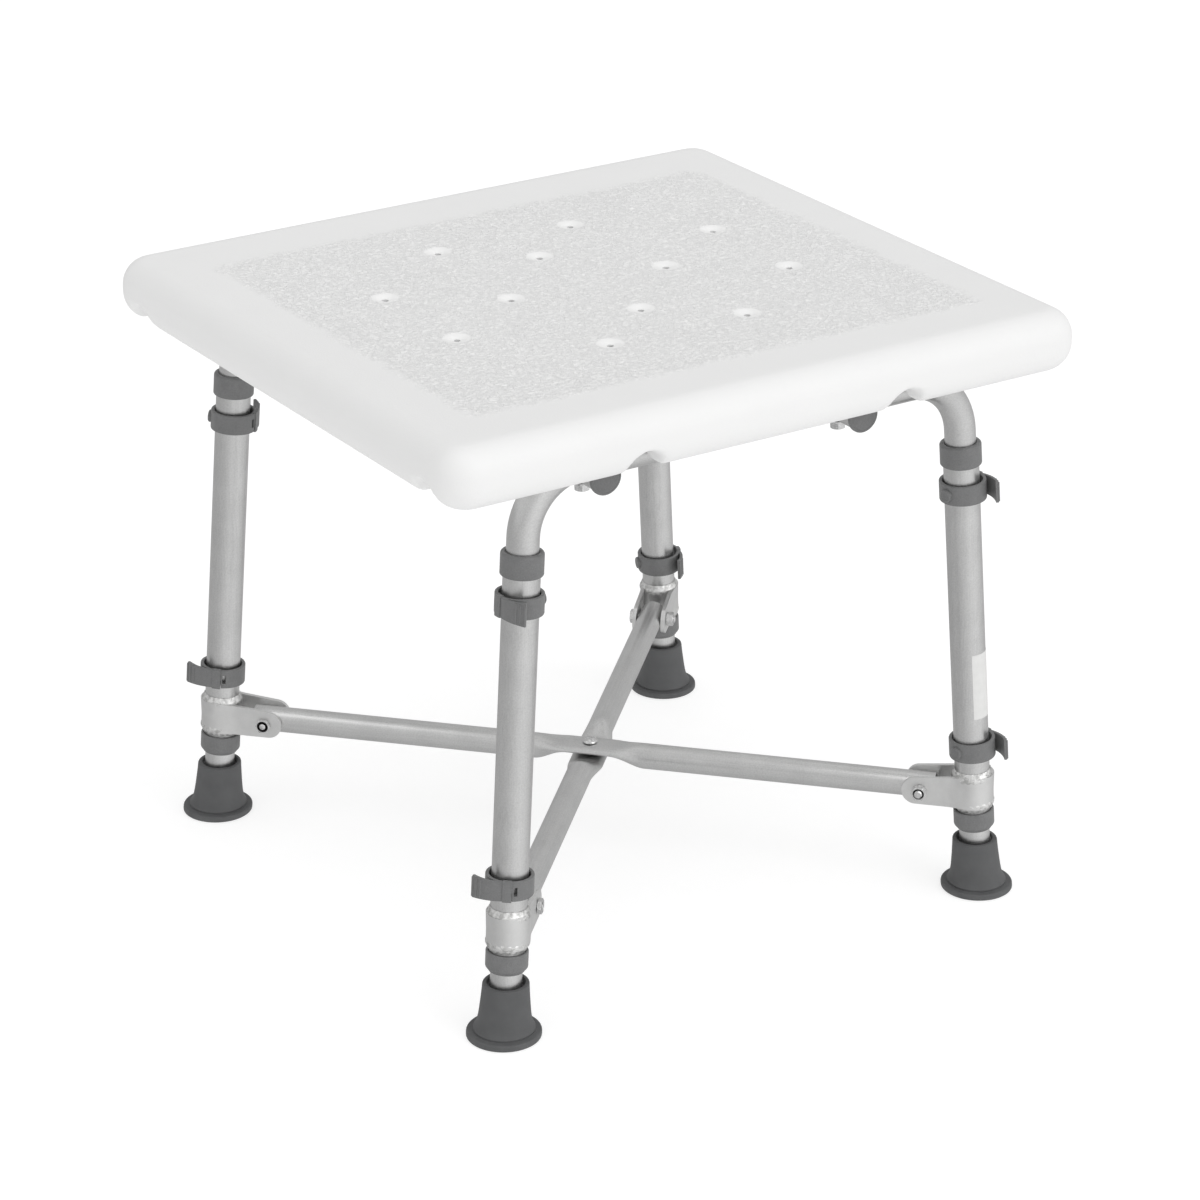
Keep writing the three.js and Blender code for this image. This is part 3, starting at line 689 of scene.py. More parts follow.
def mirrored(quarter):
    """A quarter's places in all four quarters. A zero stays on its axis."""
    places = []
    for x, y in quarter:
        for side_x in (-1, 1) if x else (1,):
            for side_y in (-1, 1) if y else (1,):
                places.append((side_x * x * MM, side_y * y * MM))
    return places


def dish_tool(name, top):
    """A shallow round dish with a soft rim."""
    radius, depth, steps = DRAIN["dish_radius"], DRAIN["dish_depth"], 8
    profile = [(0, top - depth)]
    for k in range(1, steps + 1):
        share = k / steps
        profile.append((radius * share, top - depth * (0.5 + 0.5 * math.cos(math.pi * share))))
    profile += [(radius, top + MM), (0, top + MM)]
    return turned(name, profile, SMALL_SIDES)


def seat_shell():
    """The moulding: channels underneath for the arches and bars, drain dishes, and bosses for the bolts."""
    low, high = seat_box()
    slab = seat_slab()
    along = channel_tool("arch_channel", high.x + MM)
    put(along, turn("Z", 90))
    across = channel_tool("bar_channel", high.y + MM)
    arch_y = abs(leg_top("front_right").y)
    bar_x = abs(middle("left_cross_bar").x)
    for side in (-1, 1):
        cut(slab, put(copied(along, "tool"), move(0, side * arch_y, low.z)))
        cut(slab, put(copied(across, "tool"), move(side * bar_x, 0, low.z)))
        for end in (-1, 1):
            arch_mouth = move(end * high.x, side * arch_y, low.z + MM) @ turn("Y", -90 * end)
            bar_mouth = move(side * bar_x, end * high.y, low.z + MM) @ turn("X", 90 * end)
            cut(slab, put(mouth_tool("mouth"), arch_mouth), put(mouth_tool("mouth"), bar_mouth))
    bpy.data.objects.remove(along)
    bpy.data.objects.remove(across)
    for x, y in mirrored(DRAIN_QUARTER):
        cut(slab, put(dish_tool("dish", high.z), move(x, y, 0)))
    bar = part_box("left_cross_bar")
    bar_z = middle("front_left_cross_bar_cap").z
    boss_top = low.z + CHANNEL["height"] + BOSS["into_seat"]
    for leg in LEGS:
        bolt = middle(f"{leg}_seat_bolt")
        boss = rod("boss", BOSS["radius"], bar_z + BOSS["above_bar"], boss_top, SIDES)
        join(slab, put(boss, move(bolt.x, bolt.y, 0)))
    apply_modifier(slab, "REMESH", mode="VOXEL", voxel_size=SKIN["voxel"], use_smooth_shade=True)
    apply_modifier(slab, "SMOOTH", factor=SKIN["smoothing"], iterations=SKIN["rounds"])
    apply_modifier(slab, "DECIMATE", ratio=SKIN["kept"])
    for side in (-1, 1):
        saddle = rod("saddle", bar_radius() + 0.3 * MM, bar[0].y, bar[1].y, SIDES)
        put(saddle, move(side * bar_x, 0, bar_z) @ turn("X", 90))
        cut(slab, saddle)
    for x, y in mirrored(DRAIN_QUARTER):
        cut(slab, put(rod("drain", DRAIN["hole_radius"], low.z - MM, high.z + MM), move(x, y, 0)))
    return slab


# ------------------------------------------------------------------ arches and cross bars

ARCH_BEND = 45 * MM
BEND_STEPS = 18
TUBE_WALL = 1.2 * MM
PIN_HOLE = 3.3 * MM
HOLE_PITCH = 12.7 * MM


def bar_radius():
    """A cross bar's radius: half its width along X, away from its welded pads."""
    low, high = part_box("left_cross_bar")
    return (high.x - low.x) / 2


def arch_height():
    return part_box("front_arch")[1].z - inner_radius()


def leg_radius():
    return span("front_left_leg", leg_place("front_left"))[1].x


def inner_radius():
    return span("front_left_foot_tube", leg_place("front_left"))[1].x


def leg_top(leg):
    """Where a leg's axis meets its arch's straight run."""
    return on_axis(leg, arch_height())


def pin_hole(leg, which, height):
    """A cutter for a hole in a leg's frame, on the side where that clip's pin goes in."""
    tool = rod("hole", PIN_HOLE, 0, leg_radius() + MM)
    return put(tool, move(0, 0, height) @ turn("Z", CLIPS[which][leg][0]) @ turn("Y", 90))


def bent_tube(name, corners, bend, radius):
    """A tube in the XZ plane through the corners, with one radius for all its bends."""
    heading = (corners[1] - corners[0]).normalized()
    piece = added(name, bpy.ops.mesh.primitive_circle_add, vertices=SIDES, radius=radius)
    put(piece, Matrix.Translation(corners[0]) @ facing(heading))
    here = corners[0]
    with Editing(piece):
        select_all()
        for corner, after in zip(corners[1:], corners[2:]):
            onward = (after - corner).normalized()
            angle = heading.angle(onward)
            cut_back = bend * math.tan(angle / 2)
            start = corner - heading * cut_back
            axis = heading.cross(onward).normalized()
            extrude(start - here)
            centre = start + axis.cross(heading) * bend
            sweep(math.degrees(angle), BEND_STEPS, centre, axis)
            here = corner + onward * cut_back
            heading = onward
        extrude(corners[-1] - here)
    mend(piece)
    apply_modifier(piece, "SOLIDIFY", thickness=TUBE_WALL, offset=-1)
    return piece


def arch(name, left, right):
    """A bent tube whose two stubs run down into the legs."""
    tops = [leg_top(left), leg_top(right)]
    ups = [leg_up(left), leg_up(right)]
    bottom = span(name, leg_place(left))[0].z
    stub = (tops[0] - leg_place(left).translation).length - bottom
    slant = math.atan2(-ups[0].y, ups[0].z)
    place = Matrix.Translation((tops[0] + tops[1]) / 2) @ Matrix.Rotation(slant, 4, "X")
    back = place.inverted()
    corners = [tops[0] - ups[0] * stub, tops[0], tops[1], tops[1] - ups[1] * stub]
    piece = bent_tube(f"{name}_tube", [back @ corner for corner in corners], ARCH_BEND, inner_radius())
    put(piece, place)
    for leg in (left, right):
        cut(piece, put(pin_hole(leg, "upper", pin_height(leg, "upper")), leg_place(leg)))
    return show(piece, "arch_metal", "aluminium_tube", "frame", name)


def pin_height(leg, which):
    """How far up a leg's axis a clip's pin is."""
    return middle(f"{leg}_{which}_clip", leg_place(leg)).z


GUSSET = {
    "half_width": 4.5 * MM, "lap": 11 * MM, "gap": 0.2 * MM, "round": 1.2 * MM, "rise": 0.5 * MM,
    "slope": 25, "below_arch": 1 * MM, "cap_room": 1.4 * MM,
}


def gusset(end, radius, half_length, drop):
    """The pad welded on one end of a cross bar, shaped to the arch, the end plug and the bar round it."""
    arch_y = abs(leg_top("front_right").y)
    near = half_length - GUSSET["lap"]
    ends = sorted((end * near, end * (arch_y - inner_radius() / 2)))
    half_width = GUSSET["half_width"]
    pad = block("gusset", (-half_width, ends[0], 0), (half_width, ends[1], drop - GUSSET["below_arch"]))
    soften(pad, GUSSET["round"], 3)
    arch_space = rod("space", inner_radius() + GUSSET["gap"], -20 * MM, 20 * MM, SIDES)
    put(arch_space, move(0, end * arch_y, drop) @ turn("Y", 90))
    cap_space = rod("space", radius + GUSSET["cap_room"], 0, 40 * MM, SIDES)
    put(cap_space, move(0, end * half_length, 0) @ turn("X", -90 * end))
    slope = block("slope", (-20 * MM, -40 * MM, 0), (20 * MM, 40 * MM, 40 * MM))
    put(slope, move(0, end * near, radius + GUSSET["rise"]) @ turn("X", GUSSET["slope"] * end))
    bore = rod("space", radius - TUBE_WALL / 2, -half_length, half_length, SIDES)
    return cut(pad, arch_space, cap_space, slope, put(bore, turn("X", 90)))


def cross_bar(side):
    """A tube along Y under the seat, with a gusset at each end that is welded to an arch."""
    node = f"{side}_cross_bar"
    cap = f"rear_{side}_cross_bar_cap"
    centre = Vector((middle(node).x, 0, middle(cap).z))
    half_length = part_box(cap)[1].y - CAP["face"]
    radius = bar_radius()
    bar = tube(f"{node}_tube", radius - TUBE_WALL, radius, -half_length, half_length)
    put(bar, turn("X", 90))
    for end in (-1, 1):
        join(bar, gusset(end, radius, half_length, arch_height() - centre.z))
    for end in ("front", "rear"):
        hole = rod("hole", PIN_HOLE, -radius - MM, radius + MM)
        cut(bar, put(hole, move(0, middle(f"{end}_{side}_seat_bolt").y, 0)))
    put(bar, move(*centre))
    return show(bar, "bar_metal", "aluminium_tube", "frame", node)


CAP = {"face": 3 * MM, "plug_gap": 0.3 * MM, "chamfer": 0.6 * MM}


def cross_bar_cap(end, side):
    """A flat gray end plug with a thin bead round its rim."""
    node = f"{end}_{side}_cross_bar_cap"
    low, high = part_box(node)
    centre = middle(node)
    radius = (high.x - low.x) / 2
    depth = high.y - low.y
    plug = bar_radius() - TUBE_WALL - CAP["plug_gap"]
    shoulder = depth - CAP["face"] + 0.3 * MM
    bead = [(0.0, 1.1), (1.0, 0.3), (1.8, 0.3), (2.3, 0.6), (3.0, 0.2)]
    profile = [(0, 0), (plug - CAP["chamfer"], 0), (plug, CAP["chamfer"])]
    profile += [(plug, shoulder), (radius, shoulder)]
    profile += [(radius - inwards * MM, depth - down * MM) for inwards, down in bead]
    profile += [(radius / 2, depth), (0, depth)]
    cap = soften(turned(f"{node}_plug", profile), 0.3 * MM, 2)
    way, inner_y = (1, high.y) if end == "front" else (-1, low.y)
    put(cap, move(centre.x, inner_y, centre.z) @ turn("X", 90 * way))
    return show(cap, "gray_plastic", "gray_plastic", "frame", node)


def chamfered_hexagon(name, across_corners, low, high):
    """A hexagon whose corners are turned off at both ends, as on a real nut."""
    radius = across_corners / 2
    turn_off = 0.8 * MM
    drop = turn_off * 0.6
    piece = rod(name, radius, low, high, 6)
    envelope = turned("envelope", [
        (0, low), (radius - turn_off, low), (radius, low + drop), (radius, high - drop),
        (radius - turn_off, high), (0, high),
    ])
    combine(piece, "INTERSECT", [envelope])
    return soften(piece, 0.2 * MM, 2, 25)


SEAT_BOLT = {
    "corners": 11.5 * MM, "head": 5.6 * MM, "flange_radius": 7.4 * MM, "flange_low": 5.0 * MM,
    "flange_high": 6.5 * MM, "shank": 3.0 * MM, "dimple": 0.4 * MM,
}


def seat_bolt(leg):
    """A flanged hexagon bolt that runs up through a cross bar into the seat."""
    node = f"{leg}_seat_bolt"
    low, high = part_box(node)
    centre = middle(node)
    size = SEAT_BOLT
    bolt = chamfered_hexagon(f"{node}_steel", size["corners"], 0, size["head"])
    flange = rod("flange", size["flange_radius"], size["flange_low"], size["flange_high"], edge=0.3 * MM)
    join(bolt, flange, rod("shank", size["shank"], 1.0 * MM, high.z - low.z, edge=0.4 * MM))
    cut(bolt, rod("dimple", size["shank"], -1.0 * MM, size["dimple"]))
    put(bolt, move(centre.x, centre.y, low.z))
    return show(bolt, "plated_steel", "steel_fastener", "frame", node)


INSERT = {"bore": 3.3 * MM, "groove": 0.5 * MM}


def seat_insert(leg):
    """A brass insert with two grooves."""
    node = f"{leg}_seat_insert"
    low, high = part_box(node)
    centre = middle(node)
    outer = (high.x - low.x) / 2
    inner = outer - INSERT["groove"]
    length = high.z - low.z
    grooves = [(outer, 0.3), (inner, 0.35), (inner, 0.45), (outer, 0.5), (outer, 0.75), (inner, 0.8)]
    profile = [(INSERT["bore"], 0), (outer, 0)] + [(radius, length * share) for radius, share in grooves]
    profile += [(inner, length), (INSERT["bore"], length), (INSERT["bore"], 0)]
    insert = turned(f"{node}_brass", profile, SMALL_SIDES)
    put(insert, move(centre.x, centre.y, low.z))
    return show(insert, "insert_brass", "brass_insert", "frame", node)


# ------------------------------------------------------------------ legs


def leg_tube(leg):
    """The outer tube of a leg, with a hole for each of its two clips' pins."""
    node = f"{leg}_leg"
    place = leg_place(leg)
    low, high = span(node, place)
    piece = tube(f"{node}_tube", high.x - TUBE_WALL, high.x, low.z, high.z)
    for which in CLIPS:
        cut(piece, pin_hole(leg, which, pin_height(leg, which)))
    put(piece, place)
    return show(piece, "leg_metal", "aluminium_tube", "frame", node)


def foot_tube(leg):
    """The tube that slides in the leg, with a hole for each height."""
    node = f"{leg}_foot_tube"
    place = leg_place(leg)
    low, high = span(node, place)
    piece = tube(f"{node}_tube", high.x - TUBE_WALL, high.x, low.z, high.z)
    height = pin_height(leg, "lower")
    while height < high.z - 2 * PIN_HOLE:
        cut(piece, pin_hole(leg, "lower", height))
        height += HOLE_PITCH
    put(piece, place)
    return show(piece, "leg_metal", "aluminium_tube", f"{leg}_extension", node)


COLLAR = {
    "gap": 0.3 * MM, "lip_gap": 0.35 * MM, "lip": 2.7 * MM, "shoulder": 2.0 * MM, "lower_taper": 1.6 * MM,
    "foot_chamfer": 0.6 * MM, "foot_rise": 0.9 * MM,
}


def collar(name, bore, lip_bore, radius, height, taper):
    """A plastic ferrule with its lip up: a rounded shoulder, and a thin ring on top that guides the tube."""
    shoulder = COLLAR["shoulder"]
    round_z = height - shoulder - taper
    under_lip = height - COLLAR["lip"]
    profile = [(bore, 0), (radius - COLLAR["foot_chamfer"], 0)]
    profile += [(radius, COLLAR["foot_rise"]), (radius, round_z)]
    profile += arc((radius - shoulder, round_z), shoulder, 10, 80, 5)
    profile += [(radius - shoulder, height), (lip_bore, height)]
    profile += [(lip_bore, under_lip), (bore, under_lip), (bore, 0)]
    return soften(turned(name, profile), 0.35 * MM, 2)


def leg_collar(leg, which):
    node = f"{leg}_{which}_collar"
    place = leg_place(leg)
    low, high = span(node, place)
    bore = leg_radius() + COLLAR["gap"]
    lip_bore = inner_radius() + COLLAR["lip_gap"]
    taper = COLLAR["lower_taper"] if which == "lower" else 0.0
    piece = collar(f"{node}_plastic", bore, lip_bore, high.x, high.z - low.z, taper)
    if which == "lower":
        flipped(piece, 2)
    put(piece, place @ move(0, 0, high.z if which == "lower" else low.z))
    return show(piece, "gray_plastic", "gray_plastic", "frame", node)


CLIP = {
    "looseness": 1.5 * MM, "wall": 2.6 * MM, "height": 14.5 * MM, "slack": 0.9 * MM, "tab_sweep": 68,
    "tab_rise": 10.4 * MM, "tab_wall": 2.3 * MM, "tab_flare": 0.14, "button": 4.6 * MM, "pin": 2.9 * MM,
    "rib": 0.8 * MM, "ribs": 3, "root_half": 3.2 * MM, "slot_half_width": 1.3 * MM,
    "slot_half_height": 3.2 * MM, "slot_sweep": 20, "seam_half_width": 0.25 * MM, "seam_sweep": 11,
}


def tab_out(share):
    """How far the finger tab has swung away from the strap, part of the way along it."""
    return CLIP["tab_rise"] * share ** 1.6


def tab_angle(share):
    return math.pi + math.radians(CLIP["tab_sweep"]) * share


def outward(angle):
    return Vector((math.cos(angle), math.sin(angle), 0))


def clip_tab(inner):
    """The finger tab: a strip that leaves the strap and swings out, flared at its tip, with ribs."""
    half = CLIP["height"] / 2
    start = inner + CLIP["wall"] * 0.45
    steps = 12
    tab = drawn("tab", [Vector((-start, 0, -half)), Vector((-start, 0, half))])
    with Editing(tab):
        select_all()
        for k in range(steps):
            share, after = k / steps, (k + 1) / steps
            sweep(CLIP["tab_sweep"] / steps, 1)
            bpy.ops.transform.translate(value=outward(tab_angle(after)) * (tab_out(after) - tab_out(share)))
            bpy.ops.transform.resize(value=(1, 1, 1 + CLIP["tab_flare"] * (after ** 3 - share ** 3)))
    face_out(tab)
    apply_modifier(tab, "SOLIDIFY", thickness=CLIP["tab_wall"], offset=0)
    soften(tab, 0.5 * MM, 2)
    for k in range(CLIP["ribs"]):
        share = 0.97 - 0.1 * k
        spot = outward(tab_angle(share)) * (start + tab_out(share) + CLIP["tab_wall"] / 2)
        join(tab, put(rod("rib", CLIP["rib"], -half * 0.98, half * 0.98, 12), move(*spot)))
    return tab


def clip_root(inner, outer, half):
    """The thicker stretch of a strap where its finger tab leaves it."""
    low, high = inner + 0.3 * MM, outer + 0.9 * MM
    root = turned("root", [
        (low, -half - 0.5 * MM), (high, -half - 0.2 * MM), (high, half + 0.2 * MM), (low, half + 0.5 * MM),
        (low, -half - 0.5 * MM),
    ])
    side = outer * 2
    wedge = block("wedge", (-side, -CLIP["root_half"], -side), (-inner + MM, CLIP["root_half"], side))
    return combine(root, "INTERSECT", [soften(wedge, 0.5 * MM, 2)])


def clip_pin(inner, face):
    """The pin along +Z, from inside the tubes to a dished button that stands out of the strap."""
    tip = inner_radius() - TUBE_WALL - 1.0 * MM
    pin, button = CLIP["pin"], CLIP["button"]
    dish = [(0.0, 1.3), (0.6, 1.9), (1.4, 1.7), (2.0, 1.4)]
    profile = [(0, tip), (pin - 0.5 * MM, tip), (pin, tip + 0.6 * MM), (pin, inner), (button, inner)]
    profile += [(button - inwards * MM, face + up * MM) for inwards, up in dish]
    profile += [(0, face + 1.6 * MM)]
    return turned("pin", profile, SMALL_SIDES)


def strap_clip(tab_way):
    """A strap clip at the height of its pin, which lies along +X. The tab swings one way or the other."""
    inner = leg_radius() + CLIP["looseness"]
    outer = inner + CLIP["wall"]
    half = CLIP["height"] / 2
    strap = tube("clip", inner, outer, -half, half, SIDES, 0.7 * MM)
    join(strap, clip_root(inner, outer, half), clip_tab(inner))
    within, beyond = inner - 2 * MM, outer + 2 * MM
    wide, tall, thin = CLIP["slot_half_width"], CLIP["slot_half_height"], CLIP["seam_half_width"]
    slot = block("slot", (within, -wide, -tall), (beyond, wide, tall))
    seam = block("seam", (within, -thin, -half * 2), (outer + 0.2 * MM, thin, -half * 0.1))
    put(slot, turn("Z", 180 - CLIP["slot_sweep"]))
    put(seam, turn("Z", 180 - CLIP["seam_sweep"]))
    cut(strap, slot, seam)
    put(strap, move(-CLIP["slack"], 0, 0))
    join(strap, put(clip_pin(inner, outer - CLIP["slack"]), turn("Y", 90)))
    if tab_way < 0:
        flipped(strap, 1)
    return strap


def leg_clip(leg, which, patterns):
    """A copy of the strap clip whose tab swings the right way, turned to its pin hole."""
    node = f"{leg}_{which}_clip"
    degrees, tab_way = CLIPS[which][leg]
    piece = copied(patterns[tab_way], f"{node}_strap")
    put(piece, leg_place(leg) @ move(0, 0, pin_height(leg, which)) @ turn("Z", degrees))
    return show(piece, "gray_plastic", "gray_plastic", "frame", node)


FOOT = {
    "flange_height": 5 * MM, "step_width": 4.65 * MM, "top_wall": 5.2 * MM, "waist_flare": 2.9 * MM,
    "bore_gap": 0.3 * MM, "mouth_gap": 2.3 * MM, "mouth_depth": 3 * MM, "sole_edge": 1.2 * MM,
    "flange_edge": 1.6 * MM, "top_edge": 1.1 * MM,
}


def foot_profile(flange, neck, height):
    """A foot's outline: a flange with a stepped edge, a flare that dies out and a rounded top."""
    flange_height = FOOT["flange_height"]
    step = flange - FOOT["step_width"]
    sole, rim = FOOT["sole_edge"], FOOT["flange_edge"]
    profile = [(0, 0), (flange - sole, 0)]
    profile += arc((flange - sole, sole), sole, -60, 0, 3)
    profile += arc((flange - rim, flange_height - 1.8 * MM), rim, 0, 80, 5)
    profile += [(step + 0.7 * MM, flange_height - 0.1 * MM), (step, flange_height + 0.1 * MM)]
    profile += [(step + 0.1 * MM, flange_height + 1.4 * MM)]
    flare_start, flare_top = flange_height + 1.9 * MM, height - 1.4 * MM
    steps = 14
    for k in range(steps + 1):
        share = (k / steps) ** 1.6
        radius = neck + FOOT["waist_flare"] * (1 - share) ** 1.2
        radius += (step - 0.3 * MM - neck - FOOT["waist_flare"]) * (1 - share) ** 9
        profile.append((radius, flare_start + (flare_top - flare_start) * share))
    profile += arc((neck - 1.2 * MM, height - 1.2 * MM), FOOT["top_edge"], 10, 90, 4)
    return profile + [(0, height)]


def rubber_foot(leg):
    """A bell-shaped foot, bored for its tube, whose flange lies flat on the floor while its neck leans."""
    node = f"{leg}_rubber_foot"
    place = leg_place(leg)
    up = leg_up(leg)
    low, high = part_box(node)
    height = high.z
    tube_radius = inner_radius()
    outline = foot_profile((high.y - low.y) / 2, tube_radius + FOOT["top_wall"], height)
    foot = turned(f"{node}_bell", outline)
    lean = Matrix(((1, 0, up.x / up.z, 0), (0, 1, up.y / up.z, 0), (0, 0, 1, 0), (0, 0, 0, 1)))
    foot.data.transform(lean)
    put(foot, Matrix.Translation(foot_centre(leg)))
    bore_low = span(f"{leg}_foot_tube", place)[0].z - FOOT["bore_gap"]
    bore = rod("bore", tube_radius + FOOT["bore_gap"], bore_low, height * 2, SIDES)
    bottom = height - FOOT["mouth_depth"]
    mouth_radius = tube_radius + FOOT["mouth_gap"]
    mouth = turned("mouth", [
        (0, bottom), (mouth_radius - 1.0 * MM, bottom), (mouth_radius, height - 0.5 * MM),
        (mouth_radius + 0.8 * MM, height + 4 * MM), (0, height + 4 * MM),
    ])
    cut(foot, put(bore, place), put(mouth, place))
    return show(foot, "foot_rubber", "foot_rubber", f"{leg}_extension", node)


# ------------------------------------------------------------------ braces

BRACKET = {
    "wall": 2.3 * MM, "bore_gap": 0.15 * MM, "weld": 2.5 * MM, "ear": 3.0 * MM, "ear_height": 20.6 * MM,
    "ear_rise": 4.4 * MM, "blend": 17 * MM, "thin_edge": 0.8 * MM, "edge_inset": 0.4 * MM,
    "edge_slope": 2.4 * MM,
}
WELD = {"rise": 3.0 * MM, "lap": 4.6 * MM, "dent": 0.55 * MM, "slant": 1.08}
WELD_LUMPS = {"upper": 21, "lower": 19}
BOLT_HOLE = 3.3 * MM
BRACE_GAP = 0.3 * MM


def weld_bead(name, bore, outer, lumps):
    """A broad weld that climbs from the sleeve to the tube, lying in slanted ripples. It is made with its
    lower edge on the sleeve at z = 0."""
    rise, lap = WELD["rise"], WELD["lap"]
    bead = turned(name, [
        (bore, -lap), (outer - 0.3 * MM, -lap), (outer + 0.35 * MM, -lap + 0.9 * MM),
        (outer + 0.5 * MM, -lap * 0.45), (outer - 0.1 * MM, -0.3 * MM), (outer - 1.1 * MM, rise * 0.45),
        (bore + 0.7 * MM, rise * 0.9), (bore, rise), (bore, -lap),
    ], lumps * 4)

    def in_dent(corner):
        slanted = math.atan2(corner.co.y, corner.co.x) + WELD["slant"] * corner.co.z / outer
        far_out = math.hypot(corner.co.x, corner.co.y) > bore + 0.4 * MM
        return far_out and math.cos(slanted * lumps) < -0.2

    with Editing(bead) as edit:
        edit.choose("verts", in_dent)
        shrink = 1 - WELD["dent"] / outer
        bpy.ops.transform.resize(value=(shrink, shrink, 1), center_override=(0, 0, 0))
    return bead


def bracket_outline(reach):
    """The middle of the bent plate seen from above: one ear, a smooth step out, round the leg, and back."""
    arc_radius = leg_radius() + BRACKET["wall"] - BRACKET["ear"] / 2
    ear_y = ear_middle()
    steps = 8
    outline = [(reach, ear_y), (BRACKET["blend"] * 1.5, ear_y)]
    for k in range(steps + 1):
        share = k / steps
        outline.append((BRACKET["blend"] * (1 - share), ear_y + (arc_radius - ear_y) * eased(share)))
    straight = len(outline) - 1
    outline += arc((0, 0), arc_radius, 90, 270, 24)[1:]
    return outline + [(x, -y) for x, y in reversed(outline[:straight])]


def bracket_strap(reach):
    """A plate bent round the leg, whose two ends run in to the brace as ears with round ends."""
    height, rise = BRACKET["ear_height"], BRACKET["ear_rise"]
    strap = drawn("strap", [(x, y, -height / 2) for x, y in bracket_outline(reach)])
    with Editing(strap):
        select_all()
        extrude((0, 0, height + rise))
    face_out(strap)
    apply_modifier(strap, "SOLIDIFY", thickness=BRACKET["ear"], offset=0)
    mend(strap)
    bolt_x = reach - height / 2
    above = block("above", (-2 * reach, -reach, 0), (2 * reach, reach, reach))
    put(above, move(bolt_x, 0, height / 2) @ turn("Y", math.degrees(math.atan2(rise, bolt_x))))
    keep = rod("keep", height / 2, -reach, reach, SIDES)
    put(keep, move(bolt_x, 0, 0) @ turn("X", 90))
    join(keep, block("body", (-reach, -reach, -reach), (bolt_x, reach, reach)))
    combine(strap, "INTERSECT", [keep])
    cut(strap, above)
    return soften(strap, 0.5 * MM, 3, 50)


def ear_middle():
    """How far an ear's middle is from the brace's, across the brace."""
    nut_seat = span("front_left_brace_nut", corner_place("front_left"))[0].y
    return nut_seat - BRACE_GAP - BRACKET["ear"] / 2


def bracket_sleeve(bore, outer, bottom, top):
    """The stretch of bracket round the leg, thinned towards the welds at its two ends."""
    inset, slope = BRACKET["edge_inset"], BRACKET["edge_slope"]
    thin = bore + BRACKET["thin_edge"]
    return turned("sleeve", [
        (bore, bottom - inset), (thin, bottom - inset), (outer, bottom + slope), (outer, top - slope),
        (thin, top + inset), (bore, top + inset), (bore, bottom - inset),
    ])


def bracket(leg):
    """A plate and a sleeve round the leg in one piece, and a weld at each end of the sleeve."""
    node = f"{leg}_bracket"
    place = corner_place(leg)
    in_leg = place.inverted() @ leg_place(leg)
    sleeve_low, sleeve_high = span(node, leg_place(leg))
    bore = leg_radius() + BRACKET["bore_gap"]
    outer = leg_radius() + BRACKET["wall"]
    bottom = sleeve_low.z + BRACKET["weld"]
    top = sleeve_high.z - BRACKET["weld"]
    strap = bracket_strap(span(node, place)[1].x)
    space = rod("space", bore, bottom - 60 * MM, top + 60 * MM, SIDES)
    cut(strap, put(space, in_leg))
    join(strap, put(bracket_sleeve(bore, outer, bottom, top), in_leg))
    hole = rod("hole", BOLT_HOLE, -30 * MM, 30 * MM)
    cut(strap, put(hole, move(middle(f"{leg}_brace_bolt", place).x, 0, 0) @ turn("X", 90)))
    put(strap, place)
    strap.name = f"{node}_plate"
    show(strap, "bracket_metal", "bracket_metal", "frame", node, angle=50)
    for end, height in (("upper", top), ("lower", bottom)):
        weld = weld_bead(f"{node}_{end}_weld", bore, outer, WELD_LUMPS[end])
        if end == "lower":
            flipped(weld, 2)
        put(weld, leg_place(leg) @ move(0, 0, height))
        show(weld, "weld_metal", "bracket_metal", "frame", angle=80)


BRACE = {"flat_half": 16 * MM, "transition": 26 * MM, "half_width": 13 * MM, "half_thickness": 3.5 * MM}


def brace_radius(name, place):
    """A brace's radius at its ends, where it is still round."""
    back = place.inverted()
    spots = [back @ corner.co for corner in frame["nodes"][name].data.vertices]
    end = max(spot.x for spot in spots)
    return max(spot.y for spot in spots if spot.x > end - 0.1 * MM)


def brace_section(station, radius, lift):
    """How wide and how thin a brace is pressed at a place along it, against its round ends, and its rise."""
    share = (abs(station) - BRACE["flat_half"]) / BRACE["transition"]
    pressed = 1 - eased(min(1.0, max(0.0, share)))
    wide = 1 + (BRACE["half_width"] / radius - 1) * pressed
    thin = 1 + (BRACE["half_thickness"] / radius - 1) * pressed
    return wide, thin, lift * pressed


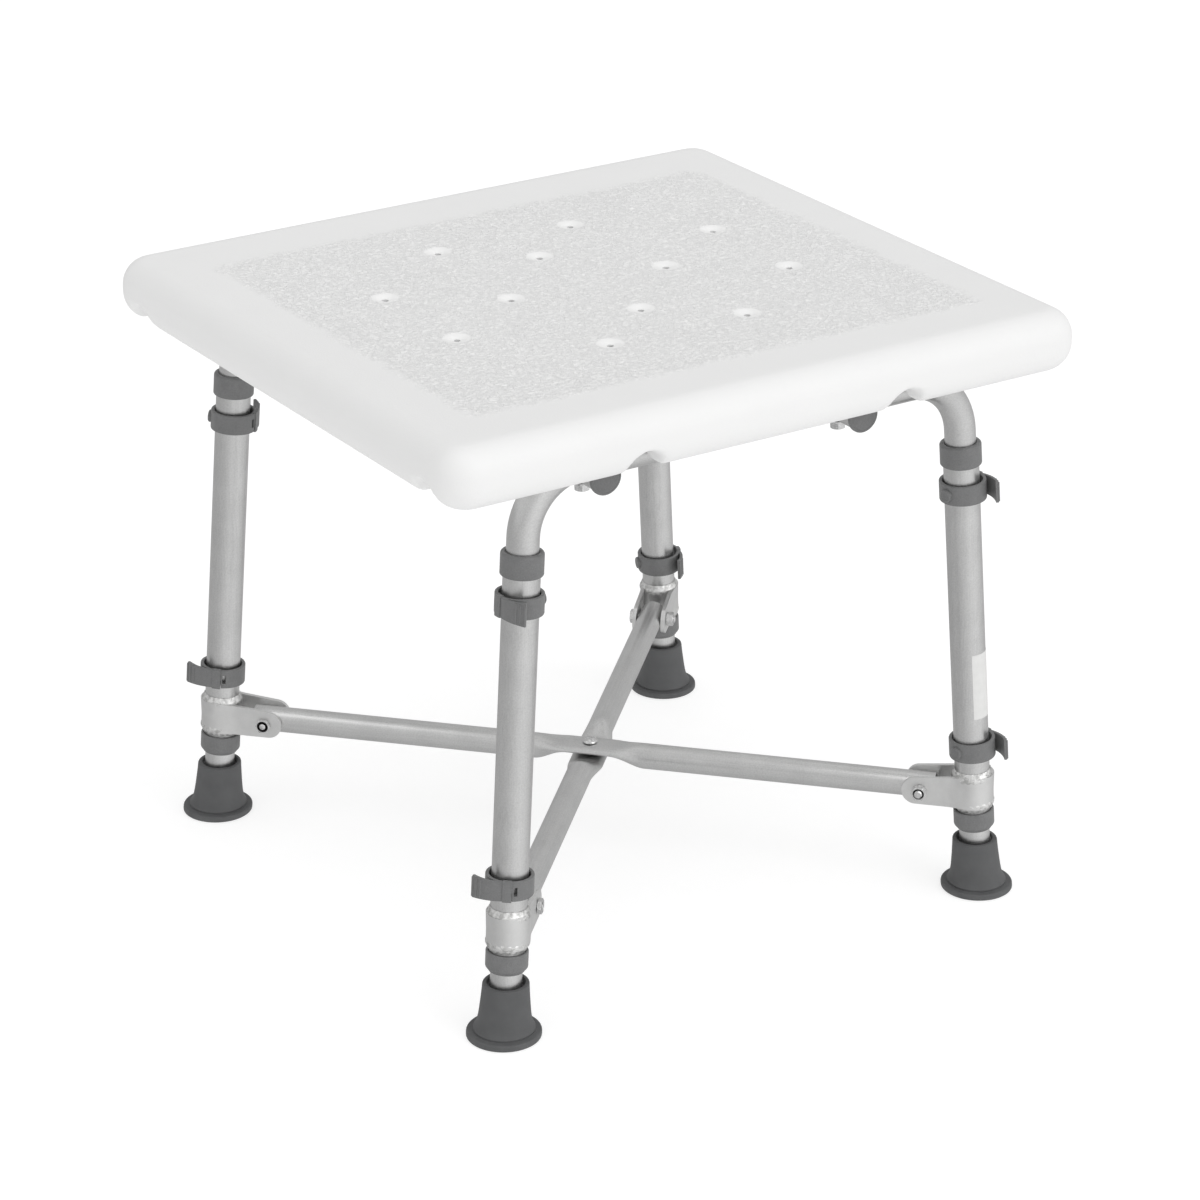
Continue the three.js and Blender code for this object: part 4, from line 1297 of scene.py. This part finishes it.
def brace(name, leg, lift):
    """A straight tube pressed flat in the middle, where it is set up or down to pass the other brace."""
    corner = corner_place(leg)
    to_middle = math.hypot(corner.translation.x, corner.translation.y)
    place = corner @ move(to_middle, 0, 0)
    half_length = span(name, place)[1].x
    radius = brace_radius(name, place)
    piece = added(f"{name}_tube", bpy.ops.mesh.primitive_circle_add, vertices=SIDES, radius=radius)
    put(piece, move(-half_length, 0, 0) @ turn("Y", 90))
    steps = 14
    stations = [-half_length]
    stations += [-BRACE["flat_half"] - BRACE["transition"] * (1 - k / steps) for k in range(steps + 1)]
    stations += [-station for station in reversed(stations)]
    with Editing(piece):
        select_all()
        for here, there in zip(stations, stations[1:]):
            wide, thin, rise = brace_section(here, radius, lift)
            next_wide, next_thin, next_rise = brace_section(there, radius, lift)
            extrude((there - here, 0, next_rise - rise))
            growth = (1, next_wide / wide, next_thin / thin)
            bpy.ops.transform.resize(value=growth, center_override=(there, 0, next_rise))
    mend(piece)
    apply_modifier(piece, "SOLIDIFY", thickness=TUBE_WALL, offset=-1)
    bolt_x = to_middle - middle(f"{leg}_brace_bolt", corner).x
    for spot in (-bolt_x, bolt_x):
        cut(piece, put(rod("hole", BOLT_HOLE, -20 * MM, 20 * MM), move(spot, 0, 0) @ turn("X", 90)))
    cut(piece, rod("hole", BOLT_HOLE, -20 * MM, 20 * MM))
    put(piece, place)
    metal = tube_metal(f"{name}_metal", corner.to_3x3() @ ACROSS)
    return show(piece, metal, "aluminium_tube", "frame", name)


def ring_groove(inner, outer, low, high):
    """A cutter for a round groove that leaves the middle standing."""
    wide = 0.5 * MM
    return turned("groove", [
        (inner, low), (outer - wide, low), (outer + wide, high), (inner - wide / 2, high), (inner, low),
    ], SMALL_SIDES)


def paint_shade(piece, within, below, above):
    """Marks the corners where shade is painted, between two radii from the Z axis and two heights."""
    marks = piece.data.attributes.new("grime", "FLOAT", "POINT")
    for corner in piece.data.vertices:
        radius = math.hypot(corner.co.x, corner.co.y)
        shaded = within[0] < radius < within[1] and below < corner.co.z < above
        marks.data[corner.index].value = float(shaded)


# The bolt's last pair of radii bounds the ring round the dome where shade is painted.
BOLT = {
    "corners": 11.4 * MM, "head": 4 * MM, "thread": 2.9 * MM, "thread_root": 2.6 * MM, "pitch": 1.0 * MM,
    "turns": 6, "dome_below": 0.7 * MM, "groove": (2.5 * MM, 3.9 * MM), "grime": (2.2 * MM, 4.5 * MM),
}
NUT = {
    "washer": 5.5 * MM, "washer_height": 0.6 * MM, "bore": 3.2 * MM, "dish_depth": 2.0 * MM,
    "dish": 4.3 * MM,
}


def bolt_thread(low, top):
    """A bolt's shank from its head to a tail with rings for thread."""
    pitch, radius = BOLT["pitch"], BOLT["thread"]
    start = top - (BOLT["turns"] + 0.5) * pitch
    profile = [(0, low), (radius, low), (radius, start)]
    for k in range(BOLT["turns"]):
        base = start + pitch * k
        profile += [(BOLT["thread_root"], base + pitch * 0.3), (radius + 0.05 * MM, base + pitch * 0.7)]
    profile += [(2.3 * MM, top - 0.1 * MM), (1.2 * MM, top), (0, top)]
    return turned("thread", profile, SMALL_SIDES)


def brace_bolt(leg):
    """A hexagon bolt with a domed middle in a dished head, and a threaded tail that ends past its nut."""
    node = f"{leg}_brace_bolt"
    place = corner_place(leg)
    low, high = span(node, place)
    base, head = low.y, BOLT["head"]
    bolt = chamfered_hexagon(f"{node}_steel", BOLT["corners"], base + BOLT["dome_below"], base + head)
    cut(bolt, ring_groove(*BOLT["groove"], base + 3.2 * MM, base + 0.5 * MM))
    outline = [(0, 0), (1.0, 0.1), (1.9, 0.5), (2.4, 1.2), (2.4, 3.0), (0, 3.0)]
    dome = turned("dome", [(radius * MM, base + height * MM) for radius, height in outline], SMALL_SIDES)
    join(bolt, dome, bolt_thread(base + head / 2, high.y))
    # The groove round the dome gets painted shade.
    paint_shade(bolt, BOLT["grime"], base + MM, base + 3.4 * MM)
    put(bolt, place @ move(middle(node, place).x, 0, 0) @ turn("X", -90))
    return show(bolt, "plated_steel", "steel_fastener", "frame", node)


def brace_nut(leg):
    """A hexagon nut with a washer face, dished round the bolt's end."""
    node = f"{leg}_brace_nut"
    place = corner_place(leg)
    low, high = span(node, place)
    base, top, bore = low.y, high.y, NUT["bore"]
    nut = chamfered_hexagon(f"{node}_steel", BOLT["corners"], base + 0.4 * MM, top)
    join(nut, rod("washer", NUT["washer"], base, base + NUT["washer_height"], edge=0.15 * MM))
    cut(nut, rod("bore", bore, base - MM, top + MM))
    bottom, lip = top - NUT["dish_depth"], top + 0.2 * MM
    cut(nut, turned("dish", [(0, bottom), (bore, bottom), (NUT["dish"], lip), (0, lip)], SMALL_SIDES))
    # The nut's bore gets painted shade.
    paint_shade(nut, (-1, bore + 0.2 * MM), base + MM, top + MM)
    put(nut, place @ move(middle(node, place).x, 0, 0) @ turn("X", -90))
    return show(nut, "plated_steel", "steel_fastener", "frame", node)


RIVET = {"head": 3.2 * MM, "shank": 3 * MM, "crown": [(0, 0), (0.45, 0.25), (0.85, 1.2), (1, 2.4)]}


def brace_rivet():
    """A rivet through both braces where they cross, with a domed head at each end."""
    low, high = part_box("brace_rivet")
    radius, shank = (high.x - low.x) / 2, RIVET["shank"]
    seat_low, seat_high = low.z + RIVET["head"], high.z - RIVET["head"]
    profile = [(radius * share, low.z + rise * MM) for share, rise in RIVET["crown"]]
    profile += [(radius, seat_low), (shank, seat_low), (shank, seat_high), (radius, seat_high)]
    profile += [(radius * share, high.z - rise * MM) for share, rise in reversed(RIVET["crown"])]
    rivet = soften(turned("brace_rivet_steel", profile), 0.3 * MM, 2)
    return show(rivet, "plated_steel", "steel_fastener", "frame", "brace_rivet")


LABEL = {"low": 141 * MM, "high": 192 * MM, "film": 0.12 * MM, "sweep": 105, "start": -115}


def blank_label():
    """A blank film label on the outer side of the front right leg."""
    radius = leg_radius() + LABEL["film"]
    label = drawn("blank_label", [(radius, 0, LABEL["low"]), (radius, 0, LABEL["high"])])
    with Editing(label):
        select_all()
        sweep(LABEL["sweep"], 24)
    face_out(label)
    apply_modifier(label, "SOLIDIFY", thickness=LABEL["film"], offset=0)
    put(label, leg_place("front_right") @ turn("Z", LABEL["start"]))
    return show(label, "sticker_film", "seat_plastic", "frame")


# ------------------------------------------------------------------ the stool


def build_stool():
    show(seat_shell(), "seat_plastic", "seat_plastic", "frame", "seat", angle=60)
    arch("front_arch", "front_left", "front_right")
    arch("rear_arch", "rear_left", "rear_right")
    for side in ("left", "right"):
        cross_bar(side)
        for end in ("front", "rear"):
            cross_bar_cap(end, side)
    patterns = {way: strap_clip(way) for way in (-1, 1)}
    for leg in LEGS:
        seat_bolt(leg)
        seat_insert(leg)
        leg_tube(leg)
        foot_tube(leg)
        for which in CLIPS:
            leg_collar(leg, which)
        for which in CLIPS:
            leg_clip(leg, which, patterns)
        rubber_foot(leg)
        bracket(leg)
        brace_bolt(leg)
        brace_nut(leg)
    for pattern in patterns.values():
        bpy.data.objects.remove(pattern)
    lift = (2 * BRACE["half_thickness"] + BRACE_GAP) / 2
    brace("upper_brace", "rear_left", lift)
    brace("lower_brace", "front_left", -lift)
    brace_rivet()
    blank_label()


# ------------------------------------------------------------------ studio


# Each sun: azimuth and elevation in degrees, its strength, and its width in degrees.
SUNS = {"key": (22, 34, 0.60, 45), "fill": (-95, 30, 0.15, 60), "top": (-20, 80, 0.75, 60)}


def heading_to(azimuth, elevation):
    """A direction: azimuth 0 is the front, and it grows towards +X."""
    a, e = math.radians(azimuth), math.radians(elevation)
    return Vector((math.sin(a) * math.cos(e), -math.cos(a) * math.cos(e), math.sin(e)))


def add_sun(name, azimuth, elevation, strength, width):
    """A broad soft light from a direction."""
    deselect()
    bpy.ops.object.light_add(type="SUN")
    sun = bpy.context.object
    sun.name = name
    sun.data.energy = strength
    sun.data.angle = math.radians(width)
    sun.rotation_euler = heading_to(azimuth, elevation).to_track_quat("Z", "Y").to_euler()


def studio_world():
    """A pale room, brightest low down towards the key light and dimmest low down behind the stool."""
    world = Finish("studio", {"Color": (1, 1, 1, 1)}, bpy.data.worlds)
    x, y, z = world.axes()
    key = math.radians(17)
    towards_key = (x * math.sin(key) - y * math.cos(key) + 1) * 0.5
    low_down = towards_key ** 2.5 * 0.42 + 0.50
    overhead = world.ramp(z, -0.1, 0.9)
    world.feed("Strength", low_down * (1 - overhead * 0.65) + overhead * 0.40)
    return world.material


def build_studio():
    place = {"size": 40, "location": (0, 0, -0.2 * MM)}
    floor = added("studio_floor", bpy.ops.mesh.primitive_plane_add, **place)
    floor.data.materials.append(FINISHES["floor_paper"])
    floor.visible_glossy = False
    scene = bpy.context.scene
    scene.world = studio_world()
    for name, settings in SUNS.items():
        add_sun(name, *settings)
    scene.view_settings.view_transform = "Standard"
    scene.view_settings.look = "None"


CAMERA = {
    "azimuth": -32.9, "elevation": 23.6, "target": (-2.3 * MM, -17.2 * MM, 207.5 * MM), "distance": 3.0318,
    "lens": 125.34, "sensor": 36, "far": 100,
}


def build_camera():
    back = heading_to(CAMERA["azimuth"], CAMERA["elevation"])
    deselect()
    bpy.ops.object.camera_add(location=Vector(CAMERA["target"]) + back * CAMERA["distance"])
    camera = bpy.context.object
    camera.name = "studio_camera"
    camera.data.lens = CAMERA["lens"]
    camera.data.sensor_width = CAMERA["sensor"]
    camera.data.clip_end = CAMERA["far"]
    camera.rotation_euler = back.to_track_quat("Z", "Y").to_euler()
    bpy.context.scene.camera = camera


build_camera()
build_stool()
build_studio()
